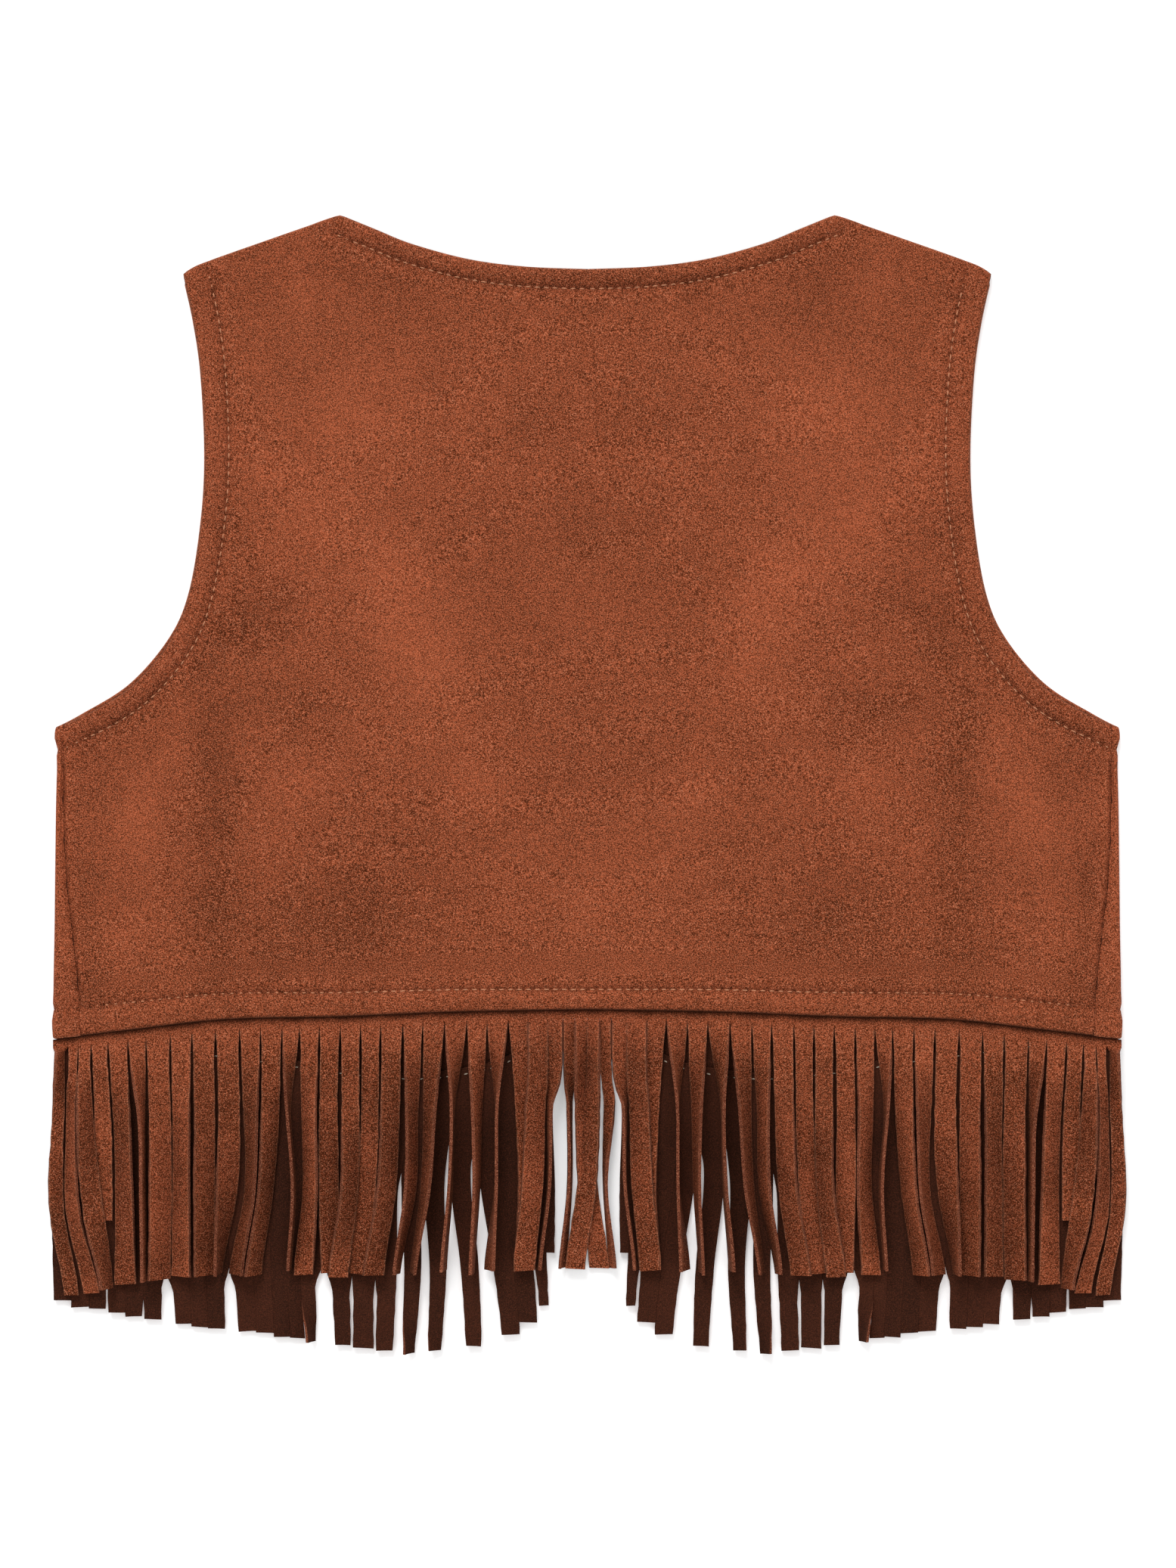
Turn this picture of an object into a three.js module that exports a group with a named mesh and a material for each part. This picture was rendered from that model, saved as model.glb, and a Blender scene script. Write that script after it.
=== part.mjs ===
// A child's western vest in suede with a long cut fringe on each hem, laid flat with its back up.
// Millimetres. X runs across the vest, +Y towards the neck and +Z up from the surface it lies on.
// The vest is the same on both sides of its centre line, so the tables give its right half.

import * as THREE from 'three';

// Thickness of the cloth, and the clear space between pieces that touch
const FRONT_WALL = 1.2;
const BACK_WALL = 1.4;
const FRINGE_WALL = 1.0;
const GAP = 0.3;

// Heights of the layers, each on top of the one before
const FRONT_FRINGE_BASE = FRONT_WALL + GAP;
const BACK_FRINGE_BASE = FRONT_FRINGE_BASE + FRINGE_WALL + GAP;
const BACK_BASE = FRONT_WALL + GAP;
const HEM_BASE = BACK_FRINGE_BASE + FRINGE_WALL + GAP;

// Edges of the right half, as points [x, y]
const PEAK = [80.1, 184.2];
const TIP = [131.2, 164.9];
const UNDERARM = [171.9, 18.4];
const SEAM_TOP = [169.4, 19.6];
const SEAM_FOOT = [163.4, -81.2];
const SIDE_FOOT = [172.7, -82.8];
const NECK = [PEAK, [68.8, 179.6], [56.6, 174.7], [38.3, 169.8], [19.9, 167.4], [0, 166.6]];
const SHOULDER = [TIP, [123.8, 168.8], [102, 176.6], PEAK];
const ARMHOLE = [
  UNDERARM, [163.9, 22.6], [148.3, 32.4], [135.6, 47.1], [129.2, 61.7], [125.4, 84],
  [124.1, 105.7], [125.3, 132], [127.8, 149.8], TIP,
];
const SIDE_FOLD = [SIDE_FOOT, [172.4, -45], [172, -10], [171.6, 8], UNDERARM];
const SIDE_SEAM = [SEAM_FOOT, [164.2, -66.9], [165.9, -52.2], [168.2, -34], [169.4, -10], SEAM_TOP];
const BACK_HEM = [[0, -72.7], [43.2, -73.5], [80, -75], [116.5, -75.9], [145.8, -79.1], SEAM_FOOT];
const FRONT_HEM = [
  [16.5, -89.2], [26, -95], [38.3, -98.6], [56.6, -100.4], [81.1, -98.4], [105.5, -94.8],
  [142.2, -90.1], [160.5, -86.7], SIDE_FOOT,
];
const FRONT_CORNER = [[10.2, -68.3], [12.2, -81], [16.5, -89.2]];
const FRONT_OPENING = [[10.2, -5], [11, 55], [27, 90], [52, 136], [78.8, 181.4]];

// The back's armhole lies this far inside the front's, which shows past it
const PEEK = 0.4;
// The front's shoulder edge lies inside the edge that the back turns down
const SHOULDER_IN = BACK_WALL + GAP + 0.4;

// Turned edges of the back: the width between edge and topstitching at each end of a side,
// how much of the swell it has, and the count of segments along it
const SIDES = {
  hem: { from: 6.4, to: 9, swell: 1, count: 12 },
  seam: { from: 7, to: 7, swell: 0, count: 6 },
  armhole: { from: 7, to: 8.2, swell: 1, count: 12 },
  shoulder: { from: 9, to: 9, swell: 0, count: 5 },
  neck: { from: 6.5, to: 6.5, swell: 1, count: 7 },
};
// Lines inside the edge, as a share of that width, and the swell of the turned cloth there
const TURNED_EDGE = [
  { at: 0, rise: -0.35 },
  { at: 0.2, rise: 0.25 },
  { at: 0.55, rise: 0.7 },
  { at: 0.86, rise: 0.35 },
  { at: 1, rise: -0.35 },
  { at: 1.25, rise: 0 },
];

// The back rises over the fringe strip that is sewn under its hem
const HEM_FLAT = 17;
const HEM_SLOPE = 22;

// Soft uneven swells of the back: centre, half length across and along, turn in degrees, height
const SWELLS = [
  { x: -58, y: 92, across: 62, along: 15, turn: 32, high: 0.9 },
  { x: 66, y: 60, across: 50, along: 12, turn: -38, high: 0.8 },
  { x: 12, y: 18, across: 70, along: 17, turn: 8, high: 0.7 },
  { x: -96, y: -6, across: 34, along: 11, turn: 64, high: 0.6 },
  { x: 104, y: -12, across: 38, along: 13, turn: -56, high: 0.7 },
  { x: 22, y: 128, across: 40, along: 12, turn: -14, high: 0.6 },
];

// Fringe: depth of the strip above the hem, uncut leather below it, slit, and clearances
const STRIP_DEPTH = 7;
const UNCUT = 3;
const SLIT = 0.4;
const FLOOR_CLEAR = 0.3;
const DROP = 20;
const CENTRE_DROP = 32;
const OPENING_EDGE = 9.9;
const RIDE = 0.3;
const STRAND_HALF = 3.3;
const OVERLAP_LIFT = 1.5;
const OVERLAP_RISE = 0.14;
const WIDTH_SETTLES = 0.33;

// Back strands from the side to the centre. root is the outer edge at the strip. at and face are the
// strand's middle and seen width, a third and two thirds down and at the tip. over marks a strand that
// lies on its neighbour, and tip is the height of its end.
const BACK_STRANDS = [
  { root: 170.2, at: [171.3, 171.4, 166.7], face: [4.1, 4.6, 4.8], over: 0, tip: -165.2 },
  { root: 167.6, at: [166.5, 166, 160.2], face: [3.6, 4.7, 5.3], over: 0, tip: -164.6 },
  { root: 164.4, at: [161.9, 159.7, 154.8], face: [5, 6.8, 3.4], over: 1, tip: -162.7 },
  { root: 160.3, at: [156.8, 156.5, 156.4], face: [5.9, 5.9, 5.9], over: 0, tip: -141 },
  { root: 154.8, at: [150.2, 149.4, 149.3], face: [5.6, 6.1, 7], over: 0, tip: -161.7 },
  { root: 148.4, at: [143.8, 143.2, 142.9], face: [1.9, 1.9, 1.8], over: 0, tip: -160.4 },
  { root: 142.6, at: [138.1, 137.9, 138.2], face: [7, 6.8, 6.5], over: 0, tip: -160 },
  { root: 134.7, at: [131.1, 131.1, 131.2], face: [5.7, 5.8, 6.2], over: 0, tip: -159 },
  { root: 127.7, at: [123.7, 123.8, 123.7], face: [6.4, 6.4, 6.1], over: 0, tip: -158.7 },
  { root: 120.1, at: [115.7, 116.6, 119.4], face: [7.4, 6.2, 2], over: 0, tip: -158.3 },
  { root: 112.3, at: [108.4, 108.7, 113.2], face: [4.8, 3.8, 4.6], over: 0, tip: -158.4 },
  { root: 105.5, at: [102.4, 103.9, 107.8], face: [5.7, 4.6, 4.9], over: 0, tip: -158.6 },
  { root: 98.5, at: [96.7, 95, 96.4], face: [1.5, 1.3, 1.3], over: 0, tip: -156.9 },
  { root: 92.9, at: [89.9, 89.6, 91.7], face: [4.9, 4.9, 6.4], over: 0, tip: -158.6 },
  { root: 86.5, at: [83.6, 83.6, 82.8], face: [6.4, 6.4, 6.4], over: 0, tip: -157.8 },
  { root: 79.7, at: [76.4, 76.9, 80.4], face: [5.8, 5.4, 6.5], over: 1, tip: -159.2 },
  { root: 73.2, at: [70.2, 71.2, 73.9], face: [6.1, 6.1, 6.1], over: 0, tip: -158.2 },
  { root: 66.7, at: [63.6, 64.9, 69], face: [6, 5.9, 6.5], over: 1, tip: -158.5 },
  { root: 59.5, at: [56.7, 57.3, 61.7], face: [3.8, 3.5, 2.1], over: 0, tip: -158.1 },
  { root: 53.1, at: [50.6, 52.1, 56], face: [4.2, 3.3, 2.2], over: 0, tip: -157.8 },
  { root: 46, at: [43.6, 44.4, 46.6], face: [1.6, 1.6, 2], over: 0, tip: -157 },
  { root: 38.9, at: [35.6, 35.7, 37.2], face: [3.4, 2.3, 1.8], over: 0, tip: -158 },
  { root: 32.3, at: [29.1, 29.3, 31.4], face: [1.4, 1.3, 3.4], over: 0, tip: -156.9 },
  { root: 25.5, at: [20.6, 19.3, 20.5], face: [6, 6, 6], over: 0, tip: -156.3 },
  { root: 19.1, at: [16.8, 17.8, 20.4], face: [6.4, 6.9, 7.1], over: 1, tip: -157.1 },
  { root: 12.7, at: [10.7, 10.8, 15.3], face: [2.2, 1.3, 1.3], over: 0, tip: -156.8 },
  { root: 7.8, at: [5.1, 5.5, 8.3], face: [2.4, 1.5, 2.6], over: 0, tip: -156.5 },
  { root: 4, at: [2, 2.4, 4.2], face: [2.8, 3.4, 4.2], over: 0, tip: -156.7 },
];
const BACK_STRIP_INNER = 0.5;

// Front strands from the side to the opening: outer edge of the root, and middle, seen width and
// height of the tip
const FRONT_STRANDS = [
  { root: 170.2, at: 169.9, face: 5.6, tip: -167.1 },
  { root: 163.7, at: 164.1, face: 5.1, tip: -169.3 },
  { root: 157.3, at: 158.5, face: 5.1, tip: -169.8 },
  { root: 150.9, at: 152.4, face: 5.2, tip: -171 },
  { root: 144.4, at: 146.7, face: 5.3, tip: -172.3 },
  { root: 137.8, at: 140.6, face: 5.9, tip: -173.2 },
  { root: 130.9, at: 130.8, face: 4.9, tip: -174.7 },
  { root: 124.2, at: 125.4, face: 5, tip: -175.7 },
  { root: 117.4, at: 119.9, face: 5.2, tip: -176.2 },
  { root: 110.5, at: 109.9, face: 5.6, tip: -177.1 },
  { root: 103.7, at: 103.8, face: 5.6, tip: -177.6 },
  { root: 96.9, at: 98.3, face: 4.4, tip: -178.9 },
  { root: 90.1, at: 93.4, face: 4.5, tip: -179.3 },
  { root: 83.2, at: 88.9, face: 2.4, tip: -180.3 },
  { root: 76.4, at: 79.1, face: 4.9, tip: -181.5 },
  { root: 69.7, at: 72.3, face: 6.2, tip: -182.5 },
  { root: 63.1, at: 65.4, face: 5.4, tip: -183.3 },
  { root: 56.4, at: 57.9, face: 3.2, tip: -184.2 },
  { root: 49.8, at: 49.3, face: 3.9, tip: -183.2 },
  { root: 43.1, at: 36.3, face: 4.9, tip: -181.8 },
  { root: 36.3, at: 24.9, face: 5.6, tip: -178.1 },
  { root: 29.5, at: 18.9, face: 5.4, tip: -174.2 },
  { root: 22.6, at: 13.5, face: 4, tip: -168.8 },
  { root: 15.8, at: 11.6, face: 2.3, tip: -151.7 },
];
const FRONT_STRIP_INNER = 11;
const NARROWEST_TIP = 4.2;
const FRONT_TURN_START = 0.78;
const LEAN_POWER = 1.6;
const TURN_BEYOND = -178;

// Shares of a strand's length where its sections lie
const BACK_SECTIONS = [0.08, 0.2, 0.36, 0.55, 0.77, 1];
const FRONT_SECTIONS = [0.12, 0.3, 0.55, 0.8, 1];

const FRONT_ACROSS = 11;
const FOLD_STEPS = 5;
const EDGE_SAMPLES = 120;
const LEAST_STEP = 1;
// Points count as one when they agree to a hundredth of a millimetre
const KEY_STEPS = 100;

const smooth = (value) => THREE.MathUtils.smoothstep(value, 0, 1);
const mix = THREE.MathUtils.lerp;
const at3 = (point, z) => new THREE.Vector3(point.x, point.y, z);

// A smooth line through points, as evenly spaced samples
function line(points) {
  const curve = new THREE.SplineCurve(points.map(([x, y]) => new THREE.Vector2(x, y)));
  return curve.getSpacedPoints(EDGE_SAMPLES);
}

// The same line cut into a number of equal lengths
function spaced(samples, count) {
  const lengths = [0];
  for (let i = 1; i < samples.length; i += 1) {
    lengths.push(lengths[i - 1] + samples[i].distanceTo(samples[i - 1]));
  }
  const points = [];
  let i = 1;
  for (let step = 0; step <= count; step += 1) {
    const wanted = (lengths[lengths.length - 1] * step) / count;
    while (i < samples.length - 1 && lengths[i] < wanted) {
      i += 1;
    }
    const share = (wanted - lengths[i - 1]) / (lengths[i] - lengths[i - 1]);
    points.push(samples[i - 1].clone().lerp(samples[i], share));
  }
  return points;
}

// Where a line that rises or falls steadily along one axis has a given value on that axis
function crossing(samples, axis, value) {
  const rising = samples[samples.length - 1][axis] > samples[0][axis];
  const past = (point) => (rising ? point[axis] >= value : point[axis] <= value);
  const i = Math.max(1, samples.findIndex(past) === -1 ? samples.length - 1 : samples.findIndex(past));
  const share = (value - samples[i - 1][axis]) / (samples[i][axis] - samples[i - 1][axis]);
  return samples[i - 1].clone().lerp(samples[i], THREE.MathUtils.clamp(share, 0, 1));
}

const backHemLine = line([...BACK_HEM, SIDE_FOOT]);
const frontHemLine = line([...FRONT_CORNER, ...FRONT_HEM.slice(1)]);
const backHemY = (x) => crossing(backHemLine, 'x', Math.abs(x)).y;
const frontHemY = (x) => crossing(frontHemLine, 'x', Math.abs(x)).y;

// Height of the back's underside: on the fronts, then up over the strip behind the hem
function backBase(x, y) {
  const fromHem = y - backHemY(x);
  const lift = (HEM_BASE - BACK_BASE) * (1 - smooth((fromHem - HEM_FLAT) / HEM_SLOPE));
  return BACK_BASE + lift;
}

function swell(x, y) {
  let height = 0;
  for (const soft of SWELLS) {
    const turn = THREE.MathUtils.degToRad(soft.turn);
    const along = (x - soft.x) * Math.cos(turn) + (y - soft.y) * Math.sin(turn);
    const across = (y - soft.y) * Math.cos(turn) - (x - soft.x) * Math.sin(turn);
    height += soft.high * Math.exp(-((along / soft.across) ** 2) - (across / soft.along) ** 2);
  }
  return height;
}

// Closes a sheet that is given as grids of matching points on its two faces. Grids that share points
// are joined there, and a rim runs round what is left open.
function sheet(grids) {
  const numbers = new Map();
  const pairs = [];
  const numberOf = (pair) => {
    const key = pair.outer.toArray().map((value) => Math.round(value * KEY_STEPS)).join(' ');
    if (!numbers.has(key)) {
      numbers.set(key, pairs.length);
      pairs.push(pair);
    }
    return numbers.get(key);
  };
  const quads = [];
  for (const rows of grids) {
    for (let j = 1; j < rows.length; j += 1) {
      for (let i = 1; i < rows[j].length; i += 1) {
        const corners = [rows[j - 1][i - 1], rows[j - 1][i], rows[j][i], rows[j][i - 1]];
        quads.push(corners.map(numberOf));
      }
    }
  }
  const used = new Set();
  for (const quad of quads) {
    quad.forEach((from, side) => used.add(`${from} ${quad[(side + 1) % 4]}`));
  }
  const inner = pairs.length;
  const triangles = [];
  const fill = (a, b, c, d) => triangles.push(a, b, c, a, c, d);
  for (const quad of quads) {
    const [a, b, c, d] = quad;
    fill(a, b, c, d);
    fill(inner + a, inner + d, inner + c, inner + b);
    quad.forEach((from, side) => {
      const to = quad[(side + 1) % 4];
      if (!used.has(`${to} ${from}`)) {
        fill(to, from, inner + from, inner + to);
      }
    });
  }
  const points = [...pairs.map((pair) => pair.outer), ...pairs.map((pair) => pair.inner)];
  return closed(points, triangles);
}

// A geometry of points and triangles, turned so that its faces point out
function closed(points, triangles) {
  let volume = 0;
  for (let i = 0; i < triangles.length; i += 3) {
    const [a, b, c] = [points[triangles[i]], points[triangles[i + 1]], points[triangles[i + 2]]];
    volume += a.dot(b.clone().cross(c));
  }
  const geometry = new THREE.BufferGeometry().setFromPoints(points);
  geometry.setIndex(volume > 0 ? triangles : triangles.reverse());
  geometry.computeVertexNormals();
  return geometry;
}

const mirrorPoint = (point) => new THREE.Vector3(-point.x, point.y, point.z);
const mirrorPair = (pair) => ({ outer: mirrorPoint(pair.outer), inner: mirrorPoint(pair.inner) });
const mirrored = (rows) => rows.map((row) => row.map(mirrorPair));
const otherHalf = (rows) => mirrored(rows).map((row) => row.reverse());

// A four-sided field of points between its edges. Rows follow the heights of the right edge.
function field(bottom, top, left, right) {
  const [foot, head] = [right[0].y, right[right.length - 1].y];
  return right.map((end, j) => {
    const v = (end.y - foot) / (head - foot);
    const start = left[j];
    return bottom.map((low, i) => {
      const u = i / (bottom.length - 1);
      const rows = low.clone().lerp(top[i], v);
      const columns = start.clone().lerp(end, u);
      const base = bottom[0].clone().lerp(bottom[bottom.length - 1], u);
      const roof = top[0].clone().lerp(top[top.length - 1], u);
      return rows.add(columns).sub(base.lerp(roof, v));
    });
  });
}

// The left edge of a field, with a point for each row of its right edge
function leftEdge(samples, right) {
  const [foot, head] = [right[0].y, right[right.length - 1].y];
  const [low, high] = [samples[0].y, samples[samples.length - 1].y];
  return right.map((end, j) => {
    if (j === 0) {
      return samples[0].clone();
    }
    if (j === right.length - 1) {
      return samples[samples.length - 1].clone();
    }
    return crossing(samples, 'y', mix(low, high, (end.y - foot) / (head - foot)));
  });
}

const heading = (samples, i) => {
  const before = samples[Math.max(i - 1, 0)];
  const after = samples[Math.min(i + 1, samples.length - 1)];
  return after.clone().sub(before).normalize();
};

// How far a corner moves when the edges before and after it move in by two distances
function cornerMove(before, after, first, second) {
  const [a, b] = [new THREE.Vector2(-before.y, before.x), new THREE.Vector2(-after.y, after.x)];
  const spread = a.x * b.y - a.y * b.x;
  return new THREE.Vector2((first * b.y - second * a.y) / spread, (second * a.x - first * b.x) / spread);
}

const BACK_OUTLINE = {
  hem: line(BACK_HEM),
  seam: line(SIDE_SEAM),
  armhole: line([SEAM_TOP, ...ARMHOLE.slice(1)]),
  shoulder: line(SHOULDER),
  neck: line(NECK),
};

// The back's outline moved in by a distance on each side, as rows of points from the centre of the
// hem, up the side and the armhole, over the shoulder and back to the centre of the neck
function insetOutline(reach) {
  const names = Object.keys(BACK_OUTLINE);
  const across = new THREE.Vector2(0, -1);
  const corners = [];
  names.forEach((name, n) => {
    const samples = BACK_OUTLINE[name];
    const next = BACK_OUTLINE[names[n + 1]];
    const last = samples.length - 1;
    const following = next ? heading(next, 0) : across;
    const nextReach = next ? reach(names[n + 1], 0) : 0;
    const move = cornerMove(heading(samples, last), following, reach(name, 1), nextReach);
    corners.push(samples[last].clone().add(move));
  });
  const hemStart = BACK_OUTLINE.hem[0].clone();
  hemStart.y += reach('hem', 0);
  const insets = {};
  names.forEach((name, n) => {
    const samples = BACK_OUTLINE[name];
    const moved = samples.map((point, i) => {
      const run = heading(samples, i);
      const distance = reach(name, i / (samples.length - 1));
      return new THREE.Vector2(point.x - run.y * distance, point.y + run.x * distance);
    });
    const start = n === 0 ? hemStart : corners[n - 1];
    const end = corners[n];
    const nearest = (target) => {
      const gaps = moved.map((point) => point.distanceTo(target));
      return gaps.indexOf(Math.min(...gaps));
    };
    const middle = moved.slice(nearest(start) + 2, nearest(end) - 1);
    insets[name] = spaced([start, ...middle, end], SIDES[name].count);
  });
  return insets;
}

// Width of the turned edge at a share of the way along a side
const bandWidth = (name, share) => mix(SIDES[name].from, SIDES[name].to, share);
const peekOf = (name) => (name === 'armhole' ? PEEK : 0);

// The turned edge runs out flat at each corner, but goes on across the centre line
function swellShare(name, i) {
  const onCentre = name === 'hem' ? i === 0 : name === 'neck' && i === SIDES.neck.count;
  const atCorner = i === 0 || i === SIDES[name].count;
  return atCorner && !onCentre ? 0 : SIDES[name].swell;
}

function backPanel() {
  const names = Object.keys(SIDES);
  const rings = TURNED_EDGE.map(({ at, rise }) => {
    const outline = insetOutline((name, share) => peekOf(name) + at * bandWidth(name, share));
    const under = insetOutline((name, share) => {
      const turnedDown = at === 0 && name === 'shoulder' ? BACK_WALL : 0;
      return peekOf(name) + at * bandWidth(name, share) + turnedDown;
    });
    return Object.fromEntries(names.map((name) => [name, outline[name].map((point, i) => {
      const base = backBase(point.x, point.y);
      const height = base + BACK_WALL + rise * swellShare(name, i);
      return { outer: at3(point, height), inner: at3(under[name][i], base) };
    })]));
  });
  const edgeGrids = names.map((name) => rings.map((ring) => ring[name]));

  // The shoulder edge is turned down to the surface, outside the front's edge
  const down = (pair) => ({ outer: at3(pair.outer, 0), inner: at3(pair.inner, 0) });
  const lip = [rings[0].shoulder.map(down), rings[0].shoulder];

  const last = rings[rings.length - 1];
  const flat = (row) => row.map((pair) => new THREE.Vector2(pair.outer.x, pair.outer.y));
  const bottom = flat(last.hem);
  const right = [...flat(last.seam), ...flat(last.armhole).slice(1)];
  const top = [...flat(last.neck).reverse(), ...flat(last.shoulder).reverse().slice(1)];
  const centre = [bottom[0], top[0]];
  const inside = field(bottom, top, leftEdge(centre, right), right);
  const middle = (side) => inside.map((row) => row.map((point) => {
    const isEdge = row.indexOf(point) === row.length - 1 || row === inside[0];
    const lift = isEdge || row === inside[inside.length - 1] ? 0 : swell(side * point.x, point.y);
    const base = backBase(point.x, point.y) + lift;
    const place = new THREE.Vector2(side * point.x, point.y);
    return { outer: at3(place, base + BACK_WALL), inner: at3(place, base) };
  }));
  const rightMiddle = middle(1);
  const leftMiddle = middle(-1).map((row) => row.reverse());
  const halves = [...edgeGrids, lip];
  return sheet([rightMiddle, leftMiddle, ...halves, ...halves.map(otherHalf)]);
}

// A front lies with its right side down, goes round the side fold and ends at the side seam
function frontPanel() {
  const fold = spaced(line(SIDE_FOLD), SIDES.seam.count);
  const armhole = spaced(line(ARMHOLE), SIDES.armhole.count);
  const roundness = fold.map((point) => (backBase(point.x, point.y) + BACK_WALL) / 2);
  const side = fold.map((point, j) => new THREE.Vector2(point.x - roundness[j], point.y));
  const samples = line(SHOULDER);
  const shoulder = samples.map((point, i) => {
    const run = heading(samples, i);
    return new THREE.Vector2(-run.y, run.x).multiplyScalar(SHOULDER_IN).add(point);
  });
  const tip = shoulder[0];
  const right = [...side, ...armhole.slice(1, -1), tip];

  const opening = line([...[...FRONT_CORNER].reverse(), ...FRONT_OPENING]);
  const hemEnd = [side[0].x, side[0].y];
  const bottom = spaced(line([...FRONT_HEM.slice(0, -1), hemEnd]), FRONT_ACROSS);
  const neckEnd = opening[opening.length - 1];
  const between = shoulder.filter(({ x }) => x > neckEnd.x + LEAST_STEP && x < tip.x - LEAST_STEP);
  const top = spaced([neckEnd, ...between.reverse(), tip], FRONT_ACROSS);
  const inside = field(bottom, top, leftEdge(opening, right), right);
  const panel = inside.map((row) => row.map((point) => ({
    outer: at3(point, 0), inner: at3(point, FRONT_WALL),
  })));

  const seam = spaced(line(SIDE_SEAM), SIDES.seam.count);
  const wrap = side.map((point, j) => {
    const radius = roundness[j];
    const end = new THREE.Vector2(seam[j].x + GAP, seam[j].y);
    const row = [];
    for (let step = 0; step <= FOLD_STEPS; step += 1) {
      const angle = Math.PI * (step / FOLD_STEPS - 0.5);
      const section = (r) => new THREE.Vector3(
        point.x + r * Math.cos(angle), mix(point.y, end.y, step / FOLD_STEPS / 2),
        radius + r * Math.sin(angle),
      );
      row.push({ outer: section(radius), inner: section(radius - FRONT_WALL) });
    }
    const start = row[row.length - 1];
    for (const share of [0.5, 1]) {
      const place = new THREE.Vector2(mix(point.x, end.x, share), mix(start.outer.y, end.y, share));
      row.push({ outer: at3(place, 2 * radius), inner: at3(place, 2 * radius - FRONT_WALL) });
    }
    return row;
  });
  return [panel, wrap];
}

// Value along a strand from its root and three stations down its length
function along(values, share) {
  const curve = new THREE.SplineCurve(values.map((value, i) => new THREE.Vector2(i / 3, value)));
  return curve.getPoint(share).y;
}

// A fringe: a strip along the hem with strands that hang from it. Each strand gives its path.
function fringe(strands, hemY, base) {
  const strip = [[], []];
  const grids = [strip];
  for (const strand of strands) {
    const ends = [strand.outerX, strand.innerX].map((x) => {
      const pairAt = (y) => ({
        outer: new THREE.Vector3(x, y, base + FRINGE_WALL), inner: new THREE.Vector3(x, y, base),
      });
      strip[0].push(pairAt(hemY(x) + STRIP_DEPTH));
      strip[1].push(pairAt(hemY(x) - UNCUT));
      return strip[1][strip[1].length - 1];
    });
    grids.push([ends, ...strand.sections.map(({ x, y, low, width, turn }) => {
      const reach = new THREE.Vector3(Math.cos(turn), 0, Math.sin(turn)).multiplyScalar(width / 2);
      const thick = new THREE.Vector3(-Math.sin(turn), 0, Math.cos(turn)).multiplyScalar(FRINGE_WALL / 2);
      const middle = new THREE.Vector3(x, y, low + Math.abs(reach.z) + thick.z);
      return [1, -1].map((end) => {
        const edge = middle.clone().addScaledVector(reach, end);
        return { outer: edge.clone().add(thick), inner: edge.clone().sub(thick) };
      });
    })]);
  }
  return grids;
}

// The turn that shows a strip of a given width as narrow as the face that is seen
function turnFor(face, width) {
  const share = Math.min(1, Math.max(0, (face - FRINGE_WALL) / (width - FRINGE_WALL)));
  return Math.acos(share);
}

// Lowest height of a front strand, which comes down from the hem to just above the surface. The hem
// is taken at the strand's lower corner.
function frontStrandBase(x, y) {
  const hem = Math.min(frontHemY(x - STRAND_HALF), frontHemY(x + STRAND_HALF));
  const fall = smooth((hem - UNCUT - y) / DROP);
  return mix(FRONT_FRINGE_BASE, FLOOR_CLEAR, fall);
}

// Lowest height of a back strand: over the front strands, or down to the surface in the opening
function backStrandBase(x, y) {
  if (x < OPENING_EDGE) {
    return mix(BACK_FRINGE_BASE, FLOOR_CLEAR, smooth((backHemY(x) - UNCUT - y) / CENTRE_DROP));
  }
  return frontStrandBase(x, y) + FRINGE_WALL + GAP + RIDE;
}

function backFringe() {
  const strands = BACK_STRANDS.map((row, n) => {
    const next = BACK_STRANDS[n + 1];
    const innerX = next ? next.root + SLIT : BACK_STRIP_INNER;
    const start = (row.root + innerX) / 2;
    const rootWidth = row.root - innerX;
    const fullWidth = Math.max(rootWidth, ...row.face);
    const side = n % 3 === 1 ? -1 : 1;
    const rootY = backHemY(start) - UNCUT;
    const sections = BACK_SECTIONS.map((share) => {
      const x = along([start, ...row.at], share);
      const y = mix(rootY, row.tip, share);
      const rise = row.over * OVERLAP_LIFT * smooth(share / OVERLAP_RISE);
      const width = mix(rootWidth, fullWidth, smooth(share / WIDTH_SETTLES));
      const turn = side * turnFor(along([rootWidth, ...row.face], share), width);
      return { x, y, low: backStrandBase(x, y) + rise, width, turn };
    });
    return { outerX: row.root, innerX, sections };
  });
  return fringe(strands, backHemY, BACK_FRINGE_BASE);
}

function frontFringe() {
  const strands = FRONT_STRANDS.map((row, n) => {
    const next = FRONT_STRANDS[n + 1];
    const innerX = next ? next.root + SLIT : FRONT_STRIP_INNER;
    const start = (row.root + innerX) / 2;
    const rootWidth = row.root - innerX;
    const turns = row.tip < TURN_BEYOND;
    const tipWidth = turns ? Math.max(row.face, NARROWEST_TIP) : row.face;
    const rootY = frontHemY(start) - UNCUT;
    const sections = FRONT_SECTIONS.map((share) => {
      const x = mix(start, row.at, share ** LEAN_POWER);
      const y = mix(rootY, row.tip, share);
      const turning = smooth((share - FRONT_TURN_START) / (1 - FRONT_TURN_START));
      const turn = turns ? turnFor(row.face, tipWidth) * turning : 0;
      return { x, y, low: frontStrandBase(x, y), width: mix(rootWidth, tipWidth, share), turn };
    });
    return { outerX: row.root, innerX, sections };
  });
  return fringe(strands, frontHemY, FRONT_FRINGE_BASE);
}

const suede = { roughness: 0.95, metalness: 0 };
const backSuede = new THREE.MeshStandardMaterial({ color: 0x8f4a31, ...suede });
const frontSuede = new THREE.MeshStandardMaterial({ color: 0x87462d, ...suede });
const fringeSuede = new THREE.MeshStandardMaterial({ color: 0x7e4029, ...suede });
const wrongSide = new THREE.MeshStandardMaterial({ color: 0x462519, ...suede });

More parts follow.
